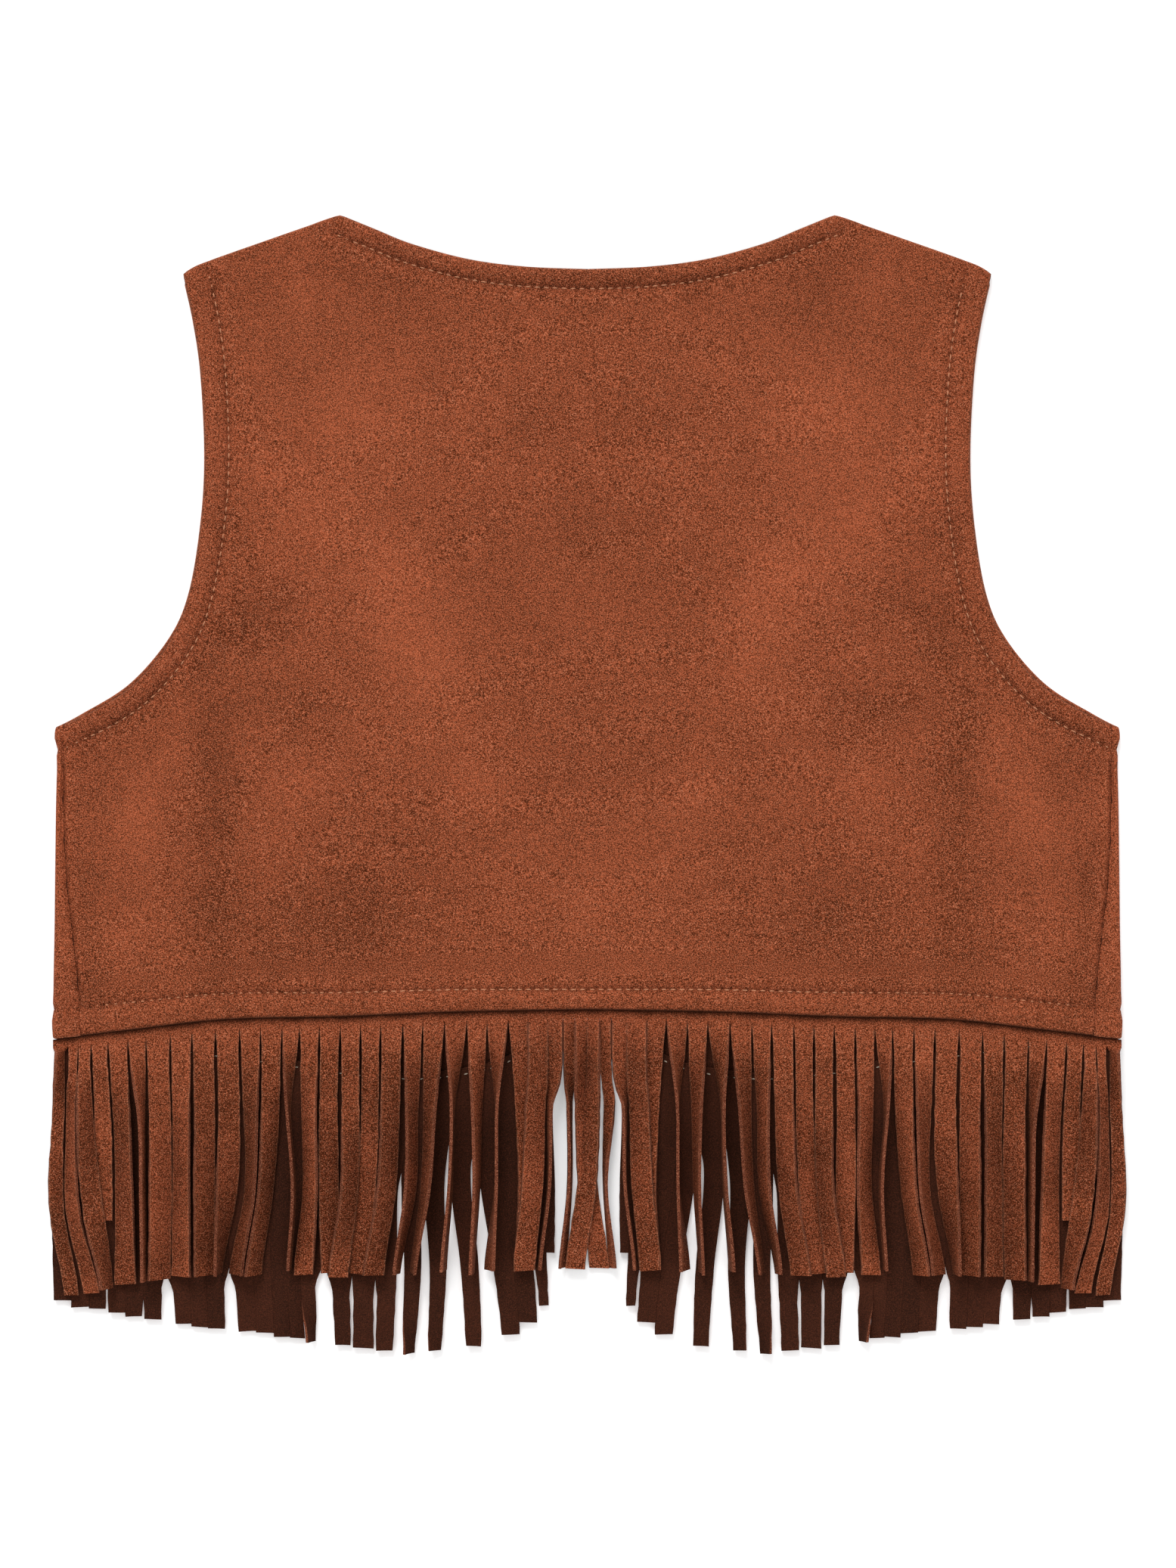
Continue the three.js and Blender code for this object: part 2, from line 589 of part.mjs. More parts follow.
function piece(name, geometry, material) {
  const mesh = new THREE.Mesh(geometry, material);
  mesh.name = name;
  return mesh;
}

const front = frontPanel();
const frontStrands = frontFringe();
const backStrands = backFringe();

// The back strip runs across the centre line in one piece
const backStrip = [0, 1].map((row) => [...backStrands[0][row], ...otherHalf(backStrands[0])[row]]);

const vest = new THREE.Group();
vest.name = 'western_vest';
vest.add(piece('back_panel', backPanel(), backSuede));
vest.add(piece('front_right', sheet(front), frontSuede));
vest.add(piece('front_left', sheet(front.map(mirrored)), frontSuede));
vest.add(piece('fringe_front_right', sheet(frontStrands), wrongSide));
vest.add(piece('fringe_front_left', sheet(frontStrands.map(mirrored)), wrongSide));
vest.add(piece(
  'fringe_back',
  sheet([backStrip, ...backStrands.slice(1), ...backStrands.slice(1).map(otherHalf)]),
  fringeSuede,
));

export default vest;
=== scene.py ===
"""A child's western vest in suede with a long cut fringe on each hem, laid flat with its back up.

Lengths in the tables and in the shaping functions are millimetres, as a maker measures them. X runs
across the vest, +Y towards the neck and +Z up from the surface that it lies on. The vest is the same
on both sides of its centre line, so the tables give its right half.
"""

import math
from collections import namedtuple

import bmesh
import bpy
import numpy as np
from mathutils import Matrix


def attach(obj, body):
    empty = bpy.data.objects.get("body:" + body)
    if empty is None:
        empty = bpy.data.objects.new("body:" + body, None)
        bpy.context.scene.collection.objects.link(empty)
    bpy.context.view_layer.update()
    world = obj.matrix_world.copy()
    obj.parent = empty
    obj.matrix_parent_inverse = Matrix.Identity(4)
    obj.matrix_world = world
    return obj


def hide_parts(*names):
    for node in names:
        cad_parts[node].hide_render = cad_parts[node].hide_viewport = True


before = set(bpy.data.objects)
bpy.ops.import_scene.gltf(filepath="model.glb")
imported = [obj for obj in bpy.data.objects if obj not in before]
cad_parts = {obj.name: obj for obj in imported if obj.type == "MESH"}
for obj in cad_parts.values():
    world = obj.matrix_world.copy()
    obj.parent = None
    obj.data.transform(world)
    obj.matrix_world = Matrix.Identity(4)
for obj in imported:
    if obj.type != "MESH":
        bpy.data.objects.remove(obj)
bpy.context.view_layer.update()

MM = 0.001
# Keeps a division by a length of nothing from failing
TINY = 1e-12

bl_info = {
    "name": "Fringed suede vest",
    "version": (1, 0, 0),
    "blender": (4, 5, 0),
    "location": "3D View > Sidebar > Vest",
    "description": "Builds a child's fringed suede vest, laid flat, piece by piece",
    "category": "Object",
}

# Clear space between pieces that touch, and heights of the layers, each on top of the one before
GAP = 0.3
FRONT_WALL = 1.2
BACK_WALL = 1.4
FRINGE_WALL = 1.0
FRONT_FRINGE_BASE = FRONT_WALL + GAP
BACK_FRINGE_BASE = FRONT_FRINGE_BASE + FRINGE_WALL + GAP
BACK_BASE = FRONT_WALL + GAP
HEM_BASE = BACK_FRINGE_BASE + FRINGE_WALL + GAP

# Edges of the right half, as points [x, y]
PEAK = (80.1, 184.2)
TIP = (131.2, 164.9)
UNDERARM = (171.9, 18.4)
SEAM_TOP = (169.4, 19.6)
SEAM_FOOT = (163.4, -81.2)
SIDE_FOOT = (172.7, -82.8)
NECK = (PEAK, (68.8, 179.6), (56.6, 174.7), (38.3, 169.8), (19.9, 167.4), (0, 166.6))
SHOULDER = (TIP, (123.8, 168.8), (102, 176.6), PEAK)
ARMHOLE = (
    UNDERARM, (163.9, 22.6), (148.3, 32.4), (135.6, 47.1), (129.2, 61.7), (125.4, 84),
    (124.1, 105.7), (125.3, 132), (127.8, 149.8), TIP,
)
SIDE_FOLD = (SIDE_FOOT, (172.4, -45), (172, -10), (171.6, 8), UNDERARM)
SIDE_SEAM = (SEAM_FOOT, (164.2, -66.9), (165.9, -52.2), (168.2, -34), (169.4, -10), SEAM_TOP)
BACK_HEM = ((0, -72.7), (43.2, -73.5), (80, -75), (116.5, -75.9), (145.8, -79.1), SEAM_FOOT)
FRONT_HEM = (
    (26, -95), (38.3, -98.6), (56.6, -100.4), (81.1, -98.4), (105.5, -94.8),
    (142.2, -90.1), (160.5, -86.7), SIDE_FOOT,
)
FRONT_CORNER = ((10.2, -68.3), (12.2, -81), (16.5, -89.2))
FRONT_OPENING = ((10.2, -5), (11, 55), (27, 90), (52, 136), (78.8, 181.4))
PEEK = 0.4
UNDERARM_PEEK = 0.7
PEEK_GROWN = 0.07
PEEK_SHRINKS = 0.2
SHOULDER_SPARE = 0.4
SHOULDER_IN = BACK_WALL + GAP + SHOULDER_SPARE

# Sides of the back, in order from the centre of the hem. A band lies between the edge and the
# topstitching, and has a width at each end. The fold is the radius at the edge
Side = namedtuple("Side", "first_band last_band fold sewn segments")
SIDES = {
    "hem": Side(6.4, 9, 0.7, True, 84),
    "seam": Side(7, 7, 1.1, False, 60),
    "armhole": Side(7, 8.2, 0.8, True, 100),
    "shoulder": Side(9, 9, 1.6, False, 36),
    "neck": Side(6.5, 6.5, 0.9, True, 48),
}
# How far each row of topstitching runs on past the ends of its side
STITCHES_RUN_ON = {"hem": (0, 0.8), "armhole": (3.4, 0), "neck": (0, 0)}
# Lines inside the edge of the back, as shares of its band
EDGE_LINES = (
    0, 0.015, 0.05, 0.1, 0.17, 0.26, 0.38, 0.5, 0.62, 0.73, 0.82, 0.89, 0.95, 1, 1.05, 1.12, 1.25, 1.45,
)
HEM_FLAT = 17
HEM_SLOPE = 22

# Fronts: bands along the hem and the opening, and at the foot and head of the wrap round the side,
# with how much each band of the wrap swells and the radius of the fold at its edge
FRONT_HEM_BAND = 9
FRONT_BAND = 6.5
FRONT_BAND_CHANGES = 2.5
FRONT_FOLD = 0.5
FRONT_FLAT = 8
WRAP_FOOT_BAND = 9
WRAP_HEAD_BAND = 7
WRAP_FOOT_PUFF = 0.35
WRAP_HEAD_PUFF = 0.8
WRAP_FOOT_FOLD = 0.6
WRAP_HEAD_FOLD = 0.8

# Relief of the leather. Stitches press a groove and raise a soft roll beside it, the side seam draws
# in, and a turned edge swells. Each is uneven by a share, over a length
GROOVE_REACH = 1.1
GROOVE_UNEVEN = 0.3
GROOVE_LENGTH = 6
ROLL_HEIGHT = 0.14
ROLL_AWAY = 3
ROLL_REACH = 2.2
SEAM_DEPTH = 0.9
SEAM_REACH = 0.8
SEAM_UNEVEN = 0.35
SEAM_LENGTH = 5
SEAM_AT_BANDS = 0.25
SEAM_DRAW = 0.25
SEAM_DRAW_REACH = 3
SEAM_FROM = 8
SEAM_SHADE_FROM = 7
SEAM_GROWS = 5
PUFF_UNEVEN = 0.3
PUFF_LENGTH = 21
PUFF_ROUND = 0.8
UNDER_FOLD = 0.7
UNDER_FOLD_SHARE = 0.8
CREASES_FROM = 8
CREASES_GROW = 16

# Painted shade in creases, along slits, on the lower side of turned strands and at strand roots: how dark
# it is and how far it reaches
SEAM_SHADE = 0.35
HEM_SHADE = 0.8
HEM_SHADE_REACH = 0.5
ARMHOLE_SHADE = 0.7
ARMHOLE_SHADE_REACH = 0.3
SLIT_SHADE = 0.7
TURNED_SHADE = 0.65
TURNED_SHADE_ROUND = 0.7
FRONT_ROOT_SHADE = 0.15
ROOT_SHADE_REACH = 0.35
BACK_STRIP_SHADE = 1
STRIP_SHADE_REACH = 1.25
STRIP_SHADE_UNEVEN = 0.35
STRIP_SHADE_LENGTH = 6

# Soft uneven ridges and troughs of the back: centre, half length, half width, turn, height
CREASES = (
    (-58, 92, 62, 15, 32, 0.9),
    (66, 60, 50, 12, -38, 0.8),
    (12, 18, 70, 17, 8, 0.7),
    (-96, -6, 34, 11, 64, 0.6),
    (104, -12, 38, 13, -56, 0.7),
    (22, 128, 40, 12, -14, 0.6),
    (-28, -34, 46, 7, -12, 0.4),
    (46, -28, 38, 6, 16, 0.4),
    (-112, 120, 26, 6, -58, 0.35),
    (112, 112, 30, 7, 66, 0.35),
    (-132, -30, 34, 6, 82, -0.3),
    (128, -34, 30, 6, -80, -0.3),
    (-70, 30, 30, 6, -30, -0.25),
    (30, 88, 34, 6, 24, -0.25),
)
# Where the nap is brushed light or dark, with painted shade on the armhole and neck bands and painted
# light on the fold round the side: centre, half length, half width, turn, tone
NAP_AND_PAINTED_LIGHT_PATCHES = (
    (76, 118, 20, 15, 0, 0.8),
    (102, 101, 20, 11, 30, 0.5),
    (84, 84, 15, 14, 0, 0.7),
    (66, 68, 14, 13, 0, 0.65),
    (55, 50, 21, 15, 80, 0.85),
    (57, 24, 12, 10, 0, 0.3),
    (36, -2, 13, 8, 60, 0.6),
    (91, -1, 10, 9, 0, 0.55),
    (145, -10, 15, 8, 110, 0.7),
    (150, -48, 9, 9, 0, 0.4),
    (0, -46, 28, 18, 0, 0.3),
    (60, -50, 130, 12, 0, -0.35),
    (93, 158, 15, 5, 80, 0.45),
    (24, 98, 26, 5, 0, 0.25),
    (132, 8, 10, 7, 60, 0.4),
    (118, 140, 12, 16, 0, 0.2),
    (78, -42, 22, 17, 0, -0.85),
    (100, -60, 14, 10, 0, -0.4),
    (120.5, -38, 36, 9, 90, -0.75),
    (120, 6, 22, 7.5, 86, -0.9),
    (114, 50, 18, 10, 125, -0.7),
    (101, 58, 9, 8, 0, -0.35),
    (91, 25, 15, 9, 0, -0.6),
    (117, 85, 7, 8, 0, -0.4),
    (0, 82, 14, 13, 0, -0.45),
    (17, 117, 12, 8, 0, -0.35),
    (0, 132, 9, 6, 0, -0.25),
    (28, 62, 10, 16, 0, -0.2),
    (0, 30, 24, 12, 0, -0.3),
    (14, 6, 12, 7, 0, -0.3),
    (56, -16, 22, 8, 0, -0.35),
    (76, 167, 15, 8, 20, -0.5),
    (66, 152, 14, 7, 0, -0.4),
    (115, 158, 10, 9, 0, -0.35),
    (161, -29, 8, 8, 0, -0.5),
    (158, 5, 13, 9, 60, -0.45),
    (158, -68, 14, 8, 0, -0.6),
    # Painted shade on the armhole band at the underarm, where it turns away from the light
    (149, 24, 20, 6, -30, -0.6),
    # Painted light on the fold round the side, which faces away from the lights
    (171, -12, 46, 4, 90, 0.75),
    (161, -48, 22, 4, 84, -0.45),
    # Painted shade along the neck band
    (0, 163.5, 44, 3.6, 0, -0.8),
    (60, 172.5, 24, 3.4, 22, -0.5),
)

# Fringe: uncut leather below the hem, the slits, and how the strands come down from the hem
UNCUT = 3
SLIT = 0.12
BACK_STRIP_INNER = 0.06
FRONT_STRIP_INNER = 11
FLOOR_CLEAR = 0.3
DROP = 20
CENTRE_DROP = 32
OPENING_EDGE = 9.9
RIDE = 0.3
STRAND_HALF = 3.3
STRAND_ROWS_POWER = 1.15

# Where along a strand each change of its form starts and how long it takes, as shares of its length
LEAVES_STRIP = 0.08
SETTLES = 0.2
WIDTH_SETTLES = 0.33
SLIT_OPENS_BY = 0.1
SLIT_SHRINKS = 0.3
CLOSED_UNTIL = 0.24
FLARE_ENDS = 0.3
OVERLAP_RISE = 0.14
PARTS_OVER = 0.1
WAVY_FROM = 0.6
WAVY_OVER = 0.2
FRONT_TURN_START = 0.78
CURLS_FROM = 0.86

# Back strands: slits between them, those beside the centre that stay closed at their roots, the
# outermost that widens at its root, and how high a strand lies on its neighbour
SLIT_OPENS = 0.75
CENTRE_ROOTS = 20
CENTRE_CLOSED = 0.3
CENTRE_POWER = 4
SIDE_FLARE = 2.4
FLARE_DROP = 0.3
OVERLAP_LIFT = 1.5
TURN_STEP = 3

# Front strands: how close they lie, how wide one gets, and which stand on edge at their tips
STRANDS_CLEAR = -0.05
WIDEST_HALF = 4.9
NARROWEST_TIP = 4.2
LEAST_TURN = 0.01
TURN_BEYOND = -178
FRONT_STITCH_UP = 5

# How each strand differs: seed of its waves, slant of its end, curl of its tip, tone and cupping
STRAND_LEAST = (0, -0.07, 0, -3, -0.5)
STRAND_MOST = (50, 0.07, 0.7, -0.7, 1)
CUP_LEVEL = 0.4
# Waves along a strand: how high, how many to its length, and a step of their seed
WIDTH_WAVE = (0.025, 9, 0)
LIE_WAVE = (0.12, 5, 3)
EDGE_WAVE = (0.12, 31, 7)
NAP_WAVE = (0.6, 4, 11)
BACK_SEED = 11
FRONT_SEED = 40

# Back strands from the side to the centre: outer edge of the root, then the strand's middle and its
# seen width a third and two thirds down and at the tip, whether it lies on its neighbour, and the
# height of its end
BACK_STRANDS = (
    (170.2, (171.3, 171.4, 166.7), (4.1, 4.6, 4.8), 0, -165.2),
    (167.6, (166.5, 166, 160.2), (3.6, 4.7, 5.3), 0, -164.6),
    (164.4, (161.9, 159.7, 154.8), (5, 6.8, 3.4), 1, -162.7),
    (160.3, (156.8, 156.5, 156.4), (5.9, 5.9, 5.9), 0, -141),
    (154.8, (150.2, 149.4, 149.3), (5.6, 6.1, 7), 0, -161.7),
    (148.4, (143.8, 143.2, 142.9), (1.9, 1.9, 1.8), 0, -160.4),
    (142.6, (138.1, 137.9, 138.2), (7, 6.8, 6.5), 0, -160),
    (134.7, (131.1, 131.1, 131.2), (5.7, 5.8, 6.2), 0, -159),
    (127.7, (123.7, 123.8, 123.7), (6.4, 6.4, 6.1), 0, -158.7),
    (120.1, (115.7, 116.6, 119.4), (7.4, 6.2, 2), 0, -158.3),
    (112.3, (108.4, 108.7, 113.2), (4.8, 3.8, 4.6), 0, -158.4),
    (105.5, (102.4, 103.9, 107.8), (5.7, 4.6, 4.9), 0, -158.6),
    (98.5, (96.7, 95, 96.4), (1.5, 1.3, 1.3), 0, -156.9),
    (92.9, (89.9, 89.6, 91.7), (4.9, 4.9, 6.4), 0, -158.6),
    (86.5, (83.6, 83.6, 82.8), (6.4, 6.4, 6.4), 0, -157.8),
    (79.7, (76.4, 76.9, 80.4), (5.8, 5.4, 6.5), 1, -159.2),
    (73.2, (70.2, 71.2, 73.9), (6.1, 6.1, 6.1), 0, -158.2),
    (66.7, (63.6, 64.9, 69), (6, 5.9, 6.5), 1, -158.5),
    (59.5, (56.7, 57.3, 61.7), (3.8, 3.5, 2.1), 0, -158.1),
    (53.1, (50.6, 52.1, 56), (4.2, 3.3, 2.2), 0, -157.8),
    (46, (43.6, 44.4, 46.6), (1.6, 1.6, 2), 0, -157),
    (38.9, (35.6, 35.7, 37.2), (3.4, 2.3, 1.8), 0, -158),
    (32.3, (29.1, 29.3, 31.4), (1.4, 1.3, 3.4), 0, -156.9),
    (25.5, (20.6, 19.3, 20.5), (6, 6, 6), 0, -156.3),
    (19.1, (16.8, 17.8, 20.4), (6.4, 6.9, 7.1), 1, -157.1),
    (12.7, (12.1, 12.3, 15.4), (2.2, 1.3, 1.4), 0, -156.8),
)
# The last two strands of the left and of the right half. Those at the centre line cross
CENTRE_STRANDS = (
    (
        (7.8, (6, 5.9, 8.2), (1.8, 1.5, 2.4), 0, -156.5),
        (4, (1.3, -0.1, -3.9), (5.4, 6.2, 6.4), 0, -156.7),
    ),
    (
        (7.8, (7.2, 5.9, 8.2), (3.6, 1.5, 2.4), 0, -156.5),
        (4, (1.3, -0.1, -3.9), (5.4, 6.2, 6.4), 1, -156.7),
    ),
)

# Front strands from the side to the opening: outer edge of the root, the strand's middle a third and
# two thirds down and at the tip, width of the tip, where it parts from the strand outside it, as a
# share of its length, and height of the tip
FRONT_STRANDS = (
    (170.2, (169.6, 170.2, 169.9), 5.6, 2, -167.1),
    (163.7, (163.3, 164.6, 164.1), 5.1, 2, -169.3),
    (157.3, (157, 158.9, 158.5), 5.1, 2, -169.8),
    (150.9, (151, 152.7, 152.4), 5.2, 0.82, -171),
    (144.4, (144.8, 147, 146.7), 5.3, 2, -172.3),
    (137.8, (138.4, 140.7, 140.6), 5.5, 0.88, -173.2),
    (130.9, (131.2, 132.3, 130.8), 4.9, 0.78, -174.7),
    (124.2, (124.8, 126.6, 125.4), 5, 2, -175.7),
    (117.4, (118.2, 120.6, 119.9), 5.2, 2, -176.2),
    (110.5, (110.9, 111.4, 110.1), 5.6, 0.74, -177.1),
    (103.7, (104.6, 105.4, 104.1), 5.6, 2, -177.6),
    (96.9, (98, 99.8, 98.6), 4.6, 2, -178.9),
    (90.1, (91.6, 94.8, 93.7), 4.6, 2, -179.3),
    (83.2, (85.4, 90.6, 89.5), 2.6, 0.92, -180.3),
    (76.4, (76.8, 79.7, 79.1), 5, 0.68, -181.5),
    (69.7, (70.6, 72.3, 72.5), 6.6, 0.7, -182.5),
    (63.1, (64.4, 64.7, 65.7), 5.6, 0.7, -183.3),
    (56.4, (56.9, 56.5, 57.9), 3.2, 0.26, -184.2),
    (49.8, (49.4, 48.3, 49.4), 4, 0.4, -183.2),
    (43.1, (41, 38.2, 36.8), 5, 0.1, -181.8),
    (36.3, (31.8, 28, 24.9), 5.6, 0.18, -178.1),
    (29.5, (25.3, 21.6, 18.9), 5.4, 2, -174.2),
    (22.6, (19, 15.6, 13.4), 4.3, 0.78, -168.8),
    (15.8, (13.4, 12.3, 11.8), 2.3, 2, -151.7),
)

# Fineness of the meshes
LINE_SAMPLES = 240
STRAND_LINES = (1, 0.93, 0.65, 0.33, 0, -0.33, -0.65, -0.93, -1)
ALONG_STRAND = 36
STRIP_ROWS = (7, 3, 0.8, 0, -0.3, -0.6, -0.9, -1.3, -1.8, -2.4, -3)
FRONT_ACROSS = 72
FOLD_STEPS = 14
FLAT_STEPS = 7
LIP_ROWS = 6
FINE_STEPS = (0, 0.3, 0.8, 1.5, 2.5, 4)
KEY_STEPS = 100
CLOSER = 1.6
RUN_ON = 15
FAR = 99.0
SEAM_GAP = 0.1
SHARP_ANGLE = math.radians(50)

# Suede: how fine its patches, streaks and tufts are, then their shares of its tone and height
PATCHES_A_METRE = 24.0
STREAKS_A_METRE = 95.0
CLUMPS_TO_GRAIN = 0.28
FIBRES_TO_GRAIN = 1.9
MIDDLE_TONE = 0.345
NAP_STEP = 0.145
TONE_STEP = 0.075
PATCH_TONE = 0.12
STREAK_TONE = 0.17
CLUMP_TONE = 0.2
GRAIN_TONE = 1.3
FIBRE_TONE = 1.5
FLECK_FROM = 0.58
FLECK_SHARPNESS = 7.0
FLECK_STRENGTH = 0.45
CLUMP_HEIGHT = 0.7
FIBRE_HEIGHT = 0.5
ROUGH_LEAST = 0.82
ROUGH_CHANGE = 0.16
BUMP = 0.85
# Stitches in suede: how fast a hole and a pucker fall off, how deep they are and how dark their painted
# shade is
HOLE_FALL = 1.6
HOLE_DEPTH = 1.6
HOLE_SHADE = 0.15
PUCKER_FALL = 0.22
PUCKER_DEPTH = 0.5
GROOVE_SHADE = 0.12
STITCH_HEIGHT = 1.4
STITCH_DARK = 0.45
# How dark the painted shade in creases, slits and under the hem is, as a share of the dark suede
PAINTED_SHADE_DARK = 0.25
# Loose fibres along edges
TUFTS_A_METRE = 900.0
TUFT_REACH = 1.1
FUZZ_WIDTH = 0.6
# Each side of the leather: grain size in millimetres, grain strength, fuzz at edges and strength of the
# painted shade
RIGHT_LOOK = (0.55, 1.35, 0.16, 0.92)
WRONG_LOOK = (0.5, 0.7, 0.1, 0.8)
WRONG_BRUSHING = 0.3
CUT_LOOK = (0.45, 1.1, 0.0, 0.0)
# Thread: its uneven tone, painted shade between its plies and their depth
WEAR_A_METRE = 160.0
WEAR_LEAST = 0.35
PLY_PAINTED_SHADE = 0.5
PLY_DEPTH = 0.06
# Sockets of a mix node that mixes colours
MIX_SHARE = 0
MIX_FIRST = 6
MIX_SECOND = 7
MIX_COLOUR = 2

# Stitches: form of one, as shares of its thread and length, where a row starts and ends, as shares of
# the pitch, and how the stitches lie
STITCH_MIDDLE = 0.1
STITCH_ENDS = 0.3
STITCH_DIP = 0.55
FIRST_STITCH = 0.5
LAST_STITCH = 0.4
STITCH_AIM = 0.3
STITCH_ASKEW = 0.05
STITCH_STRETCH = (0.9, 1.06)
STITCH_PROUD = 0.12
HEM_STITCH_SINK = 0.14
HEM_SINKS_FROM = 50
HEM_SINKS_OVER = 60
FRONT_STITCH_PROUD = 0.05
FRONT_STITCH_REACH = 160
STRIP_STITCHES = (12.5, 168, 200)
FRONT_SIDE = ((171, -83), (171, 18))
# Hem stitches on a wrap: across from where its fold starts to round, then degrees up round the fold
WRAP_STITCHES_ACROSS = (-4.2, -1.4, 1.2)
WRAP_STITCHES_ROUND = (55, 8)
WRAP_STITCHES_UP = 9.2
WRAP_STITCHES_SINK = 0.28
LEAST_UP = 0.01
UPWARDS = (0.0, 0, 1)
DOWNWARDS = (0.0, 0, -1)

# The studio: turn, height and softness of each light in degrees, and its strength
KEY_LIGHT = (14, 36, 24, 1.75)
FILL_LIGHT = (-150, 50, 60, 0.3)
WORLD_LIGHT = 0.74
FLOOR_SIZE = 12
LENS = 85
SENSOR = 36
FRAME_HEIGHT = 0.5068
LOOK_AT = (0.00024, 0, 0.003)
FLOOR_BELOW = 0.0003
FLOOR_GLOW = 0.22


def hue(code):
    """A colour as Blender keeps it, from the six digits that a paint program shows."""
    parts = [int(code[i:i + 2], 16) / 255 for i in (0, 2, 4)]
    return tuple(p / 12.92 if p <= 0.04045 else ((p + 0.055) / 1.055) ** 2.4 for p in parts)


def size_property(name, description, default):
    return bpy.props.FloatProperty(
        name=name, description=description, default=default * MM, min=0, precision=5, unit="LENGTH"
    )


def share_property(name, description, default):
    return bpy.props.FloatProperty(
        name=name, description=description, default=default, min=0, soft_max=2, subtype="FACTOR"
    )


def colour_property(name, description, code):
    return bpy.props.FloatVectorProperty(
        name=name, description=description, default=hue(code), min=0, max=1, subtype="COLOR"
    )


class VestSizes(bpy.types.PropertyGroup):
    """Sizes that a maker would change"""

    stitch_pitch: size_property("Stitch pitch", "From one topstitch to the next", 2.9)
    stitch_length: size_property("Stitch length", "Length of a topstitch that shows", 1.75)
    thread: size_property("Thread", "Thickness of the topstitching thread", 0.42)
    puff: size_property("Puff", "Swell of the turned edges between edge and stitches", 0.75)
    groove: size_property("Groove", "Depth that the stitches press into the suede", 0.45)
    cupping: size_property("Cupping", "How far the edges of a strand curl", 0.5)
    nap_depth: size_property("Nap depth", "Depth of the suede's nap", 0.16)
    creasing: share_property("Creasing", "How much the back is creased", 1)
    brushing: share_property("Brushing", "How strongly brushed patches of nap show", 1)


class VestColours(bpy.types.PropertyGroup):
    """Colours of the leather, the thread and the floor"""

    suede_dark: colour_property("Suede, dark", "Right side with its nap brushed dark", "431c08")
    suede_light: colour_property("Suede, light", "Right side with its nap brushed light", "c46541")
    wrong_dark: colour_property("Wrong side, dark", "Wrong side in its hollows", "2a150c")
    wrong_light: colour_property("Wrong side, light", "Wrong side on its fibres", "5c3020")
    edge_dark: colour_property("Cut edge, dark", "Cut edges in their hollows", "4a2214")
    edge_light: colour_property("Cut edge, light", "Cut edges where their fibres stand up", "a86045")
    fibre: colour_property("Loose fibres", "Single light fibres, on the nap and along the edges", "cf9474")
    thread: colour_property("Thread", "Topstitching thread", "d08a60")
    pale_thread: colour_property("Pale thread", "Thread that shows on the wrong side", "c4b29c")
    floor: colour_property("Floor", "The surface that the vest lies on", "fafafa")


def smooth(value):
    value = np.clip(value, 0, 1)
    return value * value * (3 - 2 * value)


def mix(first, second, share):
    return first + (second - first) * share


def waver(value, seed):
    """An uneven wave between -1 and 1 that never repeats on the length of a vest."""
    return (
        0.5 * np.sin(2.1 * value + 1.7 * seed)
        + 0.3 * np.sin(4.7 * value + 3.1 * seed)
        + 0.2 * np.sin(9.3 * value + 5.3 * seed)
    )


def uneven(share, place, seed):
    """A factor that wavers about 1 by a share."""
    return 1 + share * waver(place, seed)


def bell(away, reach):
    """1 on a line, falling softly to nothing past a reach."""
    return np.exp(-((away / reach) ** 2))


def spline(points, shares):
    """Values on a smooth curve through points that are one span apart."""
    points = np.asarray(points, float)
    last = len(points) - 1
    place = np.clip(np.asarray(shares, float), 0, 1) * last
    i = np.minimum(place.astype(int), last - 1)
    t = place - i
    if points.ndim > 1:
        t = t[:, None]
    before, start, end, after = (points[np.clip(i + k, 0, last)] for k in (-1, 0, 1, 2))
    leave, arrive = (end - before) / 2, (after - start) / 2
    return (
        (2 * start - 2 * end + leave + arrive) * t ** 3
        + (3 * end - 3 * start - 2 * leave - arrive) * t ** 2
        + leave * t
        + start
    )


def run_lengths(samples):
    return np.concatenate([[0], np.cumsum(np.linalg.norm(np.diff(samples, axis=0), axis=1))])


def at_lengths(samples, wanted):
    """Points at distances along a line."""
    run = run_lengths(samples)
    return np.column_stack([np.interp(wanted, run, column) for column in samples.T])


def spaced(samples, shares):
    """Points at shares of a line's length, or that many equal lengths apart."""
    if np.isscalar(shares):
        shares = np.linspace(0, 1, shares + 1)
    return at_lengths(samples, np.asarray(shares) * run_lengths(samples)[-1])


def line(points):
    """A smooth line through points, as evenly spaced samples."""
    return spaced(spline(points, np.linspace(0, 1, 8 * LINE_SAMPLES)), LINE_SAMPLES)


def heading(samples):
    """Directions along a line, one for each sample."""
    step = np.vstack([samples[1] - samples[0], samples[2:] - samples[:-2], samples[-1] - samples[-2]])
    return step / np.linalg.norm(step, axis=1, keepdims=True)


def offset(samples, distances):
    """A line moved to its left."""
    run = heading(samples)
    return samples + np.column_stack([-run[:, 1], run[:, 0]]) * np.reshape(distances, (-1, 1))


def run_on(samples, before, after):
    """A line made longer at its ends."""
    run = heading(samples)
    return np.vstack([samples[0] - run[0] * before, samples, samples[-1] + run[-1] * after])


def nearest(points, samples):
    """For each point, its distance from a line and how far along the line the nearest place is."""
    away = np.full(len(points), np.inf)
    along = np.zeros(len(points))
    run = run_lengths(samples)
    for start, step, before in zip(samples[:-1], np.diff(samples, axis=0), run):
        size = step @ step
        share = np.clip((points - start) @ step / max(size, TINY), 0, 1)
        gap = np.linalg.norm(points - start - share[:, None] * step, axis=1)
        closer = gap < away
        away[closer] = gap[closer]
        along[closer] = before + share[closer] * math.sqrt(size)
    return away, along


